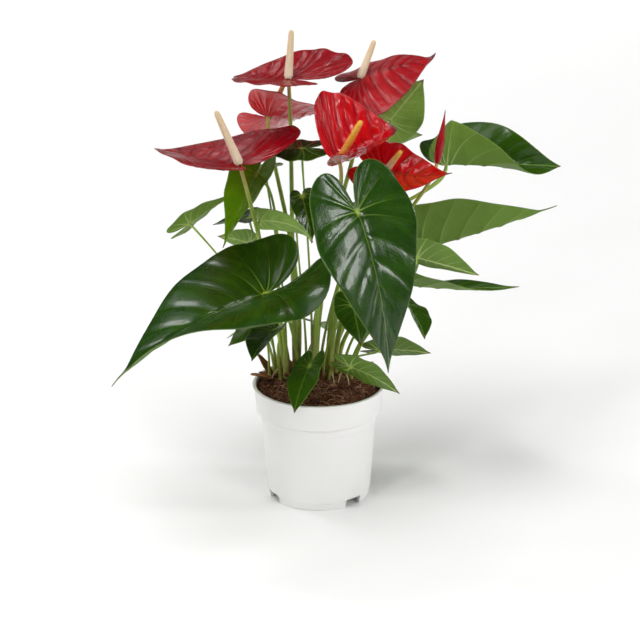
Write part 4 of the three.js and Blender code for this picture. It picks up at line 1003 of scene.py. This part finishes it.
def blade_sheet(name, blade, edge, veins, between, across):
    """The blade's middle surface. between divides each strip from vein to vein, across each vein."""
    numbers = np.concatenate([np.arange(len(veins) - 1)[:, None] + np.array(between)]).ravel()
    numbers = np.append(numbers, len(veins) - 1)
    along = np.interp(numbers, np.arange(len(veins)), veins)
    q, s = np.meshgrid(along, across, indexing="ij")
    x, y, run = flat_blade(blade, edge, q, s)
    gap = np.hypot(np.gradient(x, numbers, axis=0), np.gradient(y, numbers, axis=0))
    number = np.broadcast_to(numbers[:, None], x.shape)
    # How far each point is from the margin. The first row is the edge of the notch.
    rim = np.minimum((1 - s) * run, number * gap)
    rim[0] = 0
    # Points that lie on each other, on the midrib and at the hub, are made once.
    flat_points, rows, faces, known = [], [], [], {}
    for side in (1, -1):
        keys = np.round(np.stack([x, side * y], -1), 4)
        index = np.empty(x.shape, int)
        for place in np.ndindex(*x.shape):
            key = tuple(keys[place])
            if key not in known:
                known[key] = len(flat_points)
                flat_points.append((x[place], side * y[place]))
                rows.append((number[place], s[place], gap[place], run[place], rim[place]))
            index[place] = known[key]
        for i, j in np.ndindex(x.shape[0] - 1, x.shape[1] - 1):
            corners = [index[i, j], index[i + 1, j], index[i + 1, j + 1], index[i, j + 1]][::side]
            face = list(dict.fromkeys(corners))
            if len(face) > 2:
                faces.append(face)
    flat_points, rows = np.array(flat_points), np.array(rows)
    mesh = plain_mesh(name, bent_blade(blade, flat_points[:, 0], flat_points[:, 1]), faces)
    mark(mesh, "vein", np.stack([rows[:, 0], rows[:, 1], rows[:, 2] * MM], -1))
    mark(mesh, "flat", np.column_stack([flat_points, rows[:, 3]]) * MM)
    mark(mesh, "rim", rows[:, 4] * MM)
    tip = (blade["length"] - flat_points[:, 0]) * MM
    mark(mesh, "kind", np.column_stack([np.full(len(tip), blade["tone"]), tip, np.zeros(len(tip))]))
    return mesh


def blade_mesh(name, blade, style):
    """A finished blade, in the relief that style gives. A blade under its full length has less of it."""
    inner = np.linspace(0, 1, style["across"] + 1)[:-1] ** 0.9
    across = np.concatenate([inner, (1 - 0.6 / style["across"] / 2, 1)])
    sheet = blade_sheet(name, blade, style["edge"], style["veins"], style["between"], across)
    size = min(1.0, blade["length"] / style["full_length"])
    relief = blade["relief"]
    return grow(
        sheet, BLADE, thickness=style["thickness"] * MM, margin=0.9 * MM,
        vein_depth=style["vein_depth"] * MM * size, vein_width=style["vein_width"] * MM,
        quilting=style["quilting"] * MM * size * relief, wrinkles=style["wrinkles"] * MM * size * relief,
        cell_length=style["cell_length"] * MM, cell_share=style["cell_share"],
        seed=float(len(name) + blade["length"]), upper=style["upper"], under=style["under"])


# ---- Stalks, spadices, bud and sheaths -------------------------------------------------------------------
def in_crown(root):
    """Where a root of the tables really stands."""
    return CROWN["x"] + CROWN["wide"] * root[0], CROWN["y"] + CROWN["deep"] * root[1]


def stem_path(stem, end, normal, steps=30):
    """Straight out of the soil, then in one curve up to its end, which it meets along a normal."""
    start = np.array([*in_crown(stem["root"]), SOIL_Z])
    span = np.linalg.norm(end - start)
    first = start + np.array([*stem.get("lean", (0, 0)), stem.get("rise", STEM_RISE) * span])
    second = end - normal * STEM_NECK * span
    t = np.linspace(0, 1, steps + 1)[:, None]
    curve = (1 - t)**3 * start + 3 * (1 - t)**2 * t * first + 3 * (1 - t) * t**2 * second + t**3 * end
    return np.vstack([[*in_crown(stem["root"]), STEM_FOOT_Z], curve])


def root_path(root, steps=10):
    """Out of a stem's foot, over a low arch and down into the soil."""
    start, end = (np.array(root[key], float) for key in ("from", "to"))
    crest = (start + end) / 2 + np.array([0, 0, (start[2] - end[2]) / 2 + root["rise"]])
    return arc(start, crest, end, np.linspace(0, 1, steps + 1)[:, None])


def line_mesh(name, points):
    """A mesh that is only a line through points."""
    mesh = bpy.data.meshes.new(name)
    places = ((np.asarray(points) + POT_AXIS) * MM).tolist()
    mesh.from_pydata(places, [(i, i + 1) for i in range(len(places) - 1)], [])
    return mesh


def stalk_mesh(name, path, finish, foot, top, flare, knee=0.0):
    """A stem along a path. Its radii at foot and top, and what flare and knee add, are in millimetres."""
    return grow(line_mesh(name, path), STALK, foot_radius=foot * MM, top_radius=top * MM, knee=knee * MM,
                flare=flare * MM, sides=14, finish=finish)


def set_along(mesh, start, ahead):
    """Stands a mesh that was made along +Z at a point, along a direction."""
    ahead = ahead / np.linalg.norm(ahead)
    side, third = across_axes(ahead)
    count = len(mesh.vertices)
    points = np.empty(count * 3)
    mesh.vertices.foreach_get("co", points)
    turned_points = points.reshape(-1, 3) @ np.array([side, third, ahead])
    mesh.vertices.foreach_set("co", (turned_points + (start + POT_AXIS) * MM).ravel())
    mesh.update()
    return mesh


def direction(yaw, pitch):
    """A unit vector from two angles in degrees."""
    y, p = math.radians(yaw), math.radians(pitch)
    return np.array([math.cos(p) * math.cos(y), math.cos(p) * math.sin(y), math.sin(p)])


def spadix_mesh(name, bloom, finish):
    """A bloom's spadix, which stands on the spathe's upper face at its hub."""
    rod = bloom["spadix"]
    seat = np.array(bloom["hub"]) + SPADIX_SEAT * blade_frame(bloom)[2]
    mesh = grow(bpy.data.meshes.new(name), SPADIX, length=(rod["length"] + SPADIX_TIP) * MM,
                radius=rod["radius"] * MM, taper=SPADIX_TAPER, floret=FLORET_SIZE * MM, finish=finish)
    return set_along(mesh, seat, direction(rod["yaw"], rod["pitch"]))


def bud_mesh(name):
    """A young spathe still rolled round its spadix: its free edge runs up one side in a low step."""
    foot, top, tip = (np.array(BUD[key], float) for key in ("foot", "top", "tip"))
    rings, sides = 56, 36
    share = np.linspace(0, 1, rings)
    axis = arc(foot, 2 * top - (foot + tip) / 2, tip, share[:, None])
    radius = BUD["radius"] * np.interp(share, *BUD_OUTLINE)
    ahead = (tip - foot) / np.linalg.norm(tip - foot)
    side, third = across_axes(ahead)
    turn = np.arange(sides) / sides
    wind = turn[None, :] * BUD_WRAP * math.tau + BUD_TWIST * share[:, None] + BUD_EDGE
    ring = radius[:, None] * (1 + BUD_STEP * turn[None, :])
    outwards = np.cos(wind)[..., None] * side + np.sin(wind)[..., None] * third
    points = axis[:, None] + ring[..., None] * outwards
    points = np.vstack([points.reshape(-1, 3), axis[0], axis[-1]])
    faces = []
    for i in range(rings - 1):
        for k in range(sides):
            m = (k + 1) % sides
            faces.append((i * sides + k, i * sides + m, (i + 1) * sides + m, (i + 1) * sides + k))
    first, last = rings * sides, rings * sides + 1
    for k in range(sides):
        m = (k + 1) % sides
        faces += [(first, m, k), (last, (rings - 1) * sides + k, (rings - 1) * sides + m)]
    mesh = plain_mesh(name, points, faces)
    mesh.polygons.foreach_set("use_smooth", [True] * len(mesh.polygons))
    # The same marks as on a blade, so that the finish of a spathe fits the bud too.
    around = np.append(np.tile(turn * 6 + 2.5, rings), (2.5, 2.5))
    up = np.append(np.repeat(share, sides), (0, 1))
    tall = np.linalg.norm(tip - foot)
    mark(mesh, "vein", np.column_stack([around, up * 0.8, np.full(len(up), 4 * MM)]))
    mark(mesh, "flat", np.column_stack([up * tall * MM, around * 4 * MM, np.full(len(up), tall * MM)]))
    mark(mesh, "rim", np.full(len(up), 10 * MM))
    mark(mesh, "kind", np.column_stack([np.full(len(up), 0.5), (1 - up) * tall * MM, up * 0]))
    mesh.materials.append(SPATHE_UPPER)
    return mesh


def sheath_mesh(name, sheath):
    """A dry, curled sheath: a narrow strip with rolled margins and a torn tip.

    share runs from its foot to its tip, and across from its one margin to its other.
    """
    steps, wide = 30, 10
    ahead = direction(sheath["yaw"], sheath["pitch"])
    side = direction(sheath["yaw"] + 90, 0)
    up = np.cross(ahead, side)
    share, across = np.meshgrid(np.linspace(0, 1, steps + 1), np.linspace(-1, 1, wide + 1), indexing="ij")
    half = 0.5 * sheath["width"] * (0.45 + 0.75 * np.sin(np.pi * (0.15 + 0.8 * share))) * (1 - share**4) + 0.2
    torn = 1 - 0.08 * np.abs(np.sin(9 * across + sheath["yaw"])) * share**3
    foot = np.array([*in_crown(sheath["root"]), SHEATH_FOOT_Z])
    middle = foot + (share * torn * sheath["length"])[..., None] * ahead
    middle = middle - (SHEATH_DROOP * share**2)[..., None] * up
    roll = across * (SHEATH_ROLL + 0.5 * share)
    ripple = 0.25 * np.sin(14 * share + 5 * across)
    points = middle + (half * np.sin(roll) / np.sin(SHEATH_ROLL))[..., None] * side
    points = points + (1.2 * (1 - np.cos(roll)) * 2.2 + ripple)[..., None] * up
    row = wide + 1
    faces = [(i * row + j, (i + 1) * row + j, (i + 1) * row + j + 1, i * row + j + 1)
             for i in range(steps) for j in range(wide)]
    sheet = plain_mesh(name, points.reshape(-1, 3), faces)
    rim = np.minimum((1 - np.abs(across)) * half, np.minimum(share, 1 - share) * sheath["length"])
    mark(sheet, "vein", np.stack([across * 2.5 + 3, np.abs(across), half * MM / 2.5], -1).reshape(-1, 3))
    mark(sheet, "flat", np.stack([share * sheath["length"], across * half, half], -1).reshape(-1, 3) * MM)
    mark(sheet, "rim", rim.ravel() * MM)
    return grow(
        sheet, BLADE, thickness=0.45 * MM, margin=0.3 * MM, vein_depth=0.12 * MM, vein_width=0.35 * MM,
        quilting=0.0, wrinkles=0.0, cell_length=5 * MM, cell_share=0.0, seed=1.0, upper=SHEATH, under=SHEATH)


# ---- Pot and soil ----------------------------------------------------------------------------------------
def rounded(corners, steps=4):
    """An outline of (x, y, radius) corners with each corner turned into an arc."""
    points = []
    count = len(corners)
    for i, (x, y, radius) in enumerate(corners):
        here = np.array([x, y])
        before = np.array(corners[i - 1][:2]) - here
        after = np.array(corners[(i + 1) % count][:2]) - here
        if radius == 0:
            points.append(here)
            continue
        reach = min(radius, 0.45 * np.linalg.norm(before), 0.45 * np.linalg.norm(after))
        start = here + before / np.linalg.norm(before) * reach
        end = here + after / np.linalg.norm(after) * reach
        for t in np.linspace(0, 1, steps + 1):
            points.append(arc(start, here, end, t))
    return np.array(points)


def pot_profile():
    """The pot's wall from the middle of its underside, up the outside and down the inside to its floor."""
    ledge = BAND_FOOT_Z - LEDGE_DEPTH
    along = (ledge - FOOT_HEIGHT) / (BAND_FOOT_Z - FOOT_HEIGHT)
    ledge_radius = BODY_FOOT_RADIUS + (BODY_TOP_RADIUS - BODY_FOOT_RADIUS) * along
    return rounded([
        # underside and foot ring
        (0, FOOT_HEIGHT - POT_WALL, 0), (FOOT_RADIUS - FOOT_RING, FOOT_HEIGHT - POT_WALL, 0.5),
        (FOOT_RADIUS - FOOT_RING, 0, 0.5), (FOOT_RADIUS - 0.2, 0, 0.7), (FOOT_RADIUS + 0.4, FOOT_HEIGHT, 0.2),
        # body, with a fine ledge near its top
        (BODY_FOOT_RADIUS - 0.4, FOOT_HEIGHT + 0.6, 0.5), (BODY_FOOT_RADIUS, FOOT_HEIGHT + 4, 2),
        (ledge_radius, ledge, 0.3), (ledge_radius + 0.5, ledge + 0.5, 0.3),
        (BODY_TOP_RADIUS, BAND_FOOT_Z - 2.2, 0.5),
        # band and lip
        (BAND_FOOT_RADIUS - 0.4, BAND_FOOT_Z - 0.6, 1.6), (BAND_TOP_RADIUS, POT_HEIGHT - 2.6, 0.4),
        (RIM_RADIUS, POT_HEIGHT - 2.0, 0.5), (RIM_RADIUS, POT_HEIGHT, 0.8),
        # inside
        (BAND_TOP_RADIUS - POT_WALL, POT_HEIGHT, 0.7), (BAND_FOOT_RADIUS - POT_WALL, BAND_FOOT_Z + 1, 1),
        (BODY_TOP_RADIUS - POT_WALL, BAND_FOOT_Z - 1.6, 1),
        (BODY_FOOT_RADIUS - POT_WALL, FOOT_HEIGHT + 4, 1.5),
        (BODY_FOOT_RADIUS - POT_WALL - 1.5, FOOT_HEIGHT, 1), (0, FOOT_HEIGHT, 0)])


def block(name, middle, ahead, length, width, height):
    """A closed block that runs along a level direction, its underside's middle at a point."""
    side = np.array([-ahead[1], ahead[0], 0.0])
    corners = ((-1, -1), (1, -1), (1, 1), (-1, 1))
    base = [middle + a * ahead * length / 2 + b * side * width / 2 for a, b in corners]
    points = base + [corner + np.array([0, 0, height]) for corner in base]
    sides = [(k, (k + 1) % 4, (k + 1) % 4 + 4, k + 4) for k in range(4)]
    return plain_mesh(name, points, [(3, 2, 1, 0), (4, 5, 6, 7), *sides])


def post(name, x, y, radius, low, high, sides=24):
    """A closed upright cylinder."""
    angles = np.arange(sides) * math.tau / sides
    ring = [(x + radius * math.cos(a), y + radius * math.sin(a)) for a in angles]
    points = [(px, py, z) for z in (low, high) for px, py in ring]
    walls = [(k, (k + 1) % sides, (k + 1) % sides + sides, k + sides) for k in range(sides)]
    return plain_mesh(name, points, [tuple(range(sides))[::-1], tuple(range(sides, 2 * sides)), *walls])


def cut(mesh, tools):
    """The mesh with the closed tools cut out of it."""
    body = bpy.data.objects.new("body", mesh)
    bpy.context.scene.collection.objects.link(body)
    knives = []
    for tool in tools:
        knife = bpy.data.objects.new("knife", tool)
        bpy.context.scene.collection.objects.link(knife)
        modifier = body.modifiers.new("cut", "BOOLEAN")
        modifier.operation = "DIFFERENCE"
        modifier.solver = "EXACT"
        modifier.object = knife
        knives.append(knife)
    ready = body.evaluated_get(bpy.context.evaluated_depsgraph_get())
    result = bpy.data.meshes.new_from_object(ready)
    for thing in (body, *knives):
        bpy.data.objects.remove(thing)
    return result


def pot_mesh(name):
    """The pot: a turned wall with a stepped band and lip, a recessed foot, notches and drain holes."""
    outline_points = pot_profile()
    profile = bpy.data.meshes.new(name)
    places = [(x * MM, 0.0, z * MM) for x, z in outline_points]
    profile.from_pydata(places, [(i, i + 1) for i in range(len(places) - 1)], [])
    wall = grow(profile, TURNED, sides=144, finish=POT_WHITE)
    wall.transform(Matrix.Translation(Vector(POT_AXIS * MM)))
    tools = []
    for degrees in NOTCH_ANGLES:
        outwards = np.array([math.sin(math.radians(degrees)), -math.cos(math.radians(degrees)), 0.0])
        middle = outwards * (FOOT_RADIUS - 1) + np.array([0, 0, -CUT_PAST])
        tools.append(block("notch", middle, outwards, 8, NOTCH_WIDTH, NOTCH_HEIGHT + CUT_PAST))
        hole = outwards * DRAIN_CIRCLE
        tools.append(post("drain", hole[0], hole[1], DRAIN_RADIUS, FOOT_HEIGHT - 3, FOOT_HEIGHT + 0.2))
    pot = cut(wall, tools)
    pot.polygons.foreach_set("use_smooth", [True] * len(pot.polygons))
    pot.set_sharp_from_angle(angle=math.radians(35))
    return pot


def soil_height(x, y):
    """Height of the soil's surface: heaped in the middle, with coarse and fine clods."""
    share = math.hypot(x, y) / BAND_FOOT_RADIUS
    clods = math.sin(0.31 * x + 1.3) * math.cos(0.27 * y) + 0.6 * math.sin(0.52 * y - 0.44 * x)
    fine = math.sin(1.3 * x + 0.7 * y) * math.sin(1.1 * y - 0.9 * x + 2)
    return SOIL_EDGE_Z + SOIL_CROWN * (1 - share**2) + 0.7 * clods + 0.5 * fine


def soil_mesh(name):
    """The soil: a heap with clods, down to the pot's floor, strewn with crumbs and fibres.

    Its rings carry a radius and a height. Those with no height lie on the surface.
    """
    wall = POT_WALL + 0.6
    sectors = 96
    shares = np.linspace(0, 1, 34)[1:]
    rings = [(share * (BAND_TOP_RADIUS - wall - 0.4), None) for share in shares]
    rings += [
        (BAND_FOOT_RADIUS - wall - 0.4, BAND_FOOT_Z + 2), (BODY_TOP_RADIUS - wall - 0.4, BAND_FOOT_Z - 2),
        (BODY_FOOT_RADIUS - wall - 0.9, FOOT_HEIGHT + 4), (BODY_FOOT_RADIUS - wall - 4, FOOT_HEIGHT + 0.3)]
    angles = np.arange(sectors) * math.tau / sectors
    points = [(0.0, 0.0, soil_height(0.0, 0.0))]
    for radius, z in rings:
        for x, y in zip(radius * np.cos(angles), radius * np.sin(angles)):
            points.append((x, y, soil_height(x, y) if z is None else z))
    points.append((0.0, 0.0, FOOT_HEIGHT + 0.3))
    faces = []
    for k in range(sectors):
        m = (k + 1) % sectors
        faces.append((0, 1 + k, 1 + m))
        for i in range(1, len(rings)):
            a, b = 1 + (i - 1) * sectors, 1 + i * sectors
            faces.append((a + k, b + k, b + m, a + m))
        c = 1 + (len(rings) - 1) * sectors
        faces.append((len(points) - 1, c + m, c + k))
    ground = plain_mesh(name, points, faces)
    mark(ground, "shade", np.full(len(points), 0.3))
    return grow(ground, SOIL, crumb_spacing=2.3 * MM, crumb_size=1.5 * MM, fibre_spacing=2.7 * MM,
                fibre_length=9.0 * MM, fibre_radius=0.36 * MM, seed=7, finish=SOIL_BROWN)


# ---- Assembly --------------------------------------------------------------------------------------------
def piece(name, slot, meshes, *nodes):
    """One finished object of the given meshes, riding on the body and standing for its nodes."""
    parts = []
    for mesh in meshes:
        part = bpy.data.objects.new(name, mesh)
        bpy.context.scene.collection.objects.link(part)
        parts.append(part)
    whole = parts[0]
    if len(parts) > 1:
        with bpy.context.temp_override(active_object=whole, object=whole, selected_objects=parts,
                                       selected_editable_objects=parts):
            bpy.ops.object.join()
    whole.name = name
    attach(whole, BODY)
    if nodes:
        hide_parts(*nodes)


BLADE = blade_tree()
STALK = stalk_tree()
SPADIX = spadix_tree()
SOIL = soil_tree()
TURNED = turning_tree()

LARGE_LEAF = {
    "edge": LEAF_EDGE, "veins": LEAF_VEINS, "between": (0, 0.12, 0.3, 0.5, 0.7, 0.88), "across": 26,
    "full_length": 110, "thickness": BLADE_THICKNESS, "vein_depth": 0.4, "vein_width": 0.9, "quilting": 0.45,
    "wrinkles": 0.9, "cell_length": 13, "cell_share": 0.3, "upper": LEAF_UPPER, "under": LEAF_UNDER}
SMALL_LEAF = LARGE_LEAF | {"between": (0, 0.25, 0.5, 0.75), "across": 16}
SPATHE = {
    "edge": SPATHE_EDGE, "veins": SPATHE_VEINS, "between": (0, 0.14, 0.32, 0.5, 0.68, 0.86), "across": 34,
    "full_length": 70, "thickness": SPATHE_THICKNESS, "vein_depth": 0.5, "vein_width": 0.9, "quilting": 0.7,
    "wrinkles": 2.2, "cell_length": 13, "cell_share": 0.6, "upper": SPATHE_UPPER, "under": SPATHE_UNDER}
RODS = {"bloom_centre": ORANGE_ROD, "bloom_low": YELLOW_TIP_ROD, "bloom_back": BROWN_ROD}
SMALL_LEAF_LENGTH = 75                   # and under
LEAF_TO_STALK = 48                       # a leaf's length over the radius of its stalk's foot
THIN_STALK, THICK_STALK = 1.1, 2.1
# Where a stalk ends, above the middle of its blade's thickness. Each ends inside the blade.
INTO_LEAF, INTO_SPATHE = 0.15, -0.1

for name, leaf in LEAVES.items():
    up = blade_frame(leaf)[2]
    foot = min(max(leaf["length"] / LEAF_TO_STALK, THIN_STALK), THICK_STALK)
    style = LARGE_LEAF if leaf["length"] > SMALL_LEAF_LENGTH else SMALL_LEAF
    blade = blade_mesh(name, leaf, style)
    path = stem_path(leaf, np.array(leaf["hub"]) + INTO_LEAF * up, up)
    stalk = stalk_mesh(
        name + "_stalk", path, LEAF_STALK, foot=foot, top=0.72 * foot, knee=0.22 * foot, flare=0.4 * foot)
    piece(name + "_leaf", "leaf_green", [blade, stalk], "leaf_" + name)

for name, bloom in BLOOMS.items():
    up = blade_frame(bloom)[2]
    spathe = blade_mesh(name, bloom, SPATHE | {"edge": bloom.get("edge", SPATHE_EDGE)})
    piece(name + "_blade", "spathe_red", [spathe], name + "_spathe")
    rod = spadix_mesh(name, bloom, RODS.get(name, CREAM_ROD))
    piece(name + "_rod", "spadix_cream", [rod], name + "_spadix")
    path = stem_path(bloom, np.array(bloom["hub"]) + INTO_SPATHE * up, up)
    stalk = stalk_mesh(name + "_stem", path, BLOOM_STALK, foot=2.3, top=1.7, flare=0.5)
    piece(name + "_stem", "flower_stalk", [stalk], name + "_stalk")

bud_foot = np.array(BUD["foot"], float)
bud_up = np.array(BUD["top"], float) - bud_foot
bud_up /= np.linalg.norm(bud_up)
piece("bud_blade", "spathe_red", [bud_mesh("bud")], "bud_spathe")
path = stem_path(BUD, bud_foot + 0.4 * bud_up, bud_up)
bud_stalk = stalk_mesh("bud_stem", path, BLOOM_STALK, foot=2.0, top=1.6, flare=0.4)
piece("bud_stem", "flower_stalk", [bud_stalk], "bud_stalk")

for name, sheath in SHEATHS.items():
    piece("dry_" + name, "dry_sheath", [sheath_mesh(name, sheath)], name)
scraps = [sheath_mesh("scrap", scrap | {"width": SCRAP_WIDTH}) for scrap in SCRAPS]
piece("sheath_scraps", "dry_sheath", scraps)
roots = [stalk_mesh("root", root_path(root), ROOT_PALE, foot=0.8, top=0.45, flare=0.3) for root in ROOTS]
piece("pale_roots", "flower_stalk", roots)
piece("pot_wall", "pot_plastic", [pot_mesh("pot wall")], "pot")
piece("soil_heap", "potting_soil", [soil_mesh("soil heap")], "soil")

# ---- Floor, light and camera -----------------------------------------------------------------------------
# From here on, sizes are in metres.
FLOOR_REACH = 8.0
PLANT_MIDDLE = (0, 0, 0.22)
# The lights round the plant: where each stands, how wide it is, and its watts.
LIGHTS = {
    "overhead light": ((-0.3, -0.6, 2.4), 1.8, 36),
    "left front light": ((-2.0, -1.4, 1.8), 0.75, 18),
    "right front light": ((1.5, -2.0, 1.4), 0.75, 17),
    "middle front light": ((-1.05, -1.7, 1.36), 0.2, 8),
    "right side light": ((1.93, -0.13, 0.74), 0.4, 11),
    "left back light": ((-1.2, 0.64, 1.95), 0.45, 11),
    "low back light": ((-0.56, 1.82, 1.45), 0.2, 1.3),
    "high back light": ((0.35, 1.3, 2.0), 0.2, 1.5),
}
# The lights that shine straight down on the floor around, past the plant.
FLOOR_LIGHTS = {"far": (0, 2.5), "left": (-2.4, 0), "right": (2.4, 0)}
FLOOR_LIGHT_HEIGHT, FLOOR_LIGHT_SIZE, FLOOR_LIGHT_WATTS, FLOOR_LIGHT_SPREAD = 2.8, 2.0, 16, 70
DIMNESS = 0.06                           # strength of the studio all round
BACKDROP = 0.22                          # what is added to it low down behind the plant
CAMERA_AIM = (-0.0209, 0.0, 0.167)
CAMERA_DISTANCE = 3.0
CAMERA_ELEVATION = math.radians(20.5)
CAMERA_LENS = 187.8                      # millimetres

floor_mesh = bpy.data.meshes.new("floor")
floor_corners = [(x * FLOOR_REACH, y * FLOOR_REACH, 0) for x, y in ((-1, -1), (1, -1), (1, 1), (-1, 1))]
floor_mesh.from_pydata(floor_corners, [], [(0, 1, 2, 3)])
floor = bpy.data.objects.new("floor", floor_mesh)
bpy.context.scene.collection.objects.link(floor)
paper, paper_tree, paper_shader = new_material("pale floor", {"Specular IOR Level": 0.1, "Roughness": 0.9})
clouds = speckle(paper_tree, place(paper_tree), 3.0)
pale = mixed(paper_tree, clouds, colour(244, 244, 244), colour(247, 247, 246))
feed(pale, paper_shader.inputs["Base Color"])
floor_mesh.materials.append(paper)


def soft_box(name, spot, aim, size, watts, spread=180):
    """A square area light at a spot, turned to an aim, both in metres. Its beam is spread degrees wide."""
    light = bpy.data.lights.new(name, "AREA")
    light.shape = "SQUARE"
    light.size = size
    light.energy = watts
    light.spread = math.radians(spread)
    lamp = bpy.data.objects.new(name, light)
    lamp.location = spot
    lamp.rotation_euler = (Vector(spot) - Vector(aim)).to_track_quat("Z", "Y").to_euler()
    bpy.context.scene.collection.objects.link(lamp)


for name, (spot, size, watts) in LIGHTS.items():
    soft_box(name, spot, PLANT_MIDDLE, size, watts)
for side, spot in FLOOR_LIGHTS.items():
    soft_box(side + " floor light", (*spot, FLOOR_LIGHT_HEIGHT), (*spot, 0), FLOOR_LIGHT_SIZE,
             FLOOR_LIGHT_WATTS, FLOOR_LIGHT_SPREAD)

# The studio is dim, and brighter only low down behind the plant.
world = bpy.data.worlds.new("studio")
world.use_nodes = True
studio = world.node_tree
_, away, above = split(studio, add(studio, "ShaderNodeTexCoord").outputs["Generated"])
backdrop = away.smooth(0.1, 0.7) * (1.0 - above.smooth(0.05, 0.2))
feed(DIMNESS + BACKDROP * backdrop, studio.nodes["Background"].inputs["Strength"])
studio.nodes["Background"].inputs["Color"].default_value = (1.0, 1.0, 1.0, 1.0)
bpy.context.scene.world = world
bpy.context.scene.view_settings.view_transform = "Standard"

lens = bpy.data.cameras.new("camera")
lens.lens = CAMERA_LENS
camera = bpy.data.objects.new("camera", lens)
camera.location = (CAMERA_AIM[0], CAMERA_AIM[1] - CAMERA_DISTANCE * math.cos(CAMERA_ELEVATION),
                   CAMERA_AIM[2] + CAMERA_DISTANCE * math.sin(CAMERA_ELEVATION))
camera.rotation_euler = (math.pi / 2 - CAMERA_ELEVATION, 0, 0)
bpy.context.scene.collection.objects.link(camera)
bpy.context.scene.camera = camera
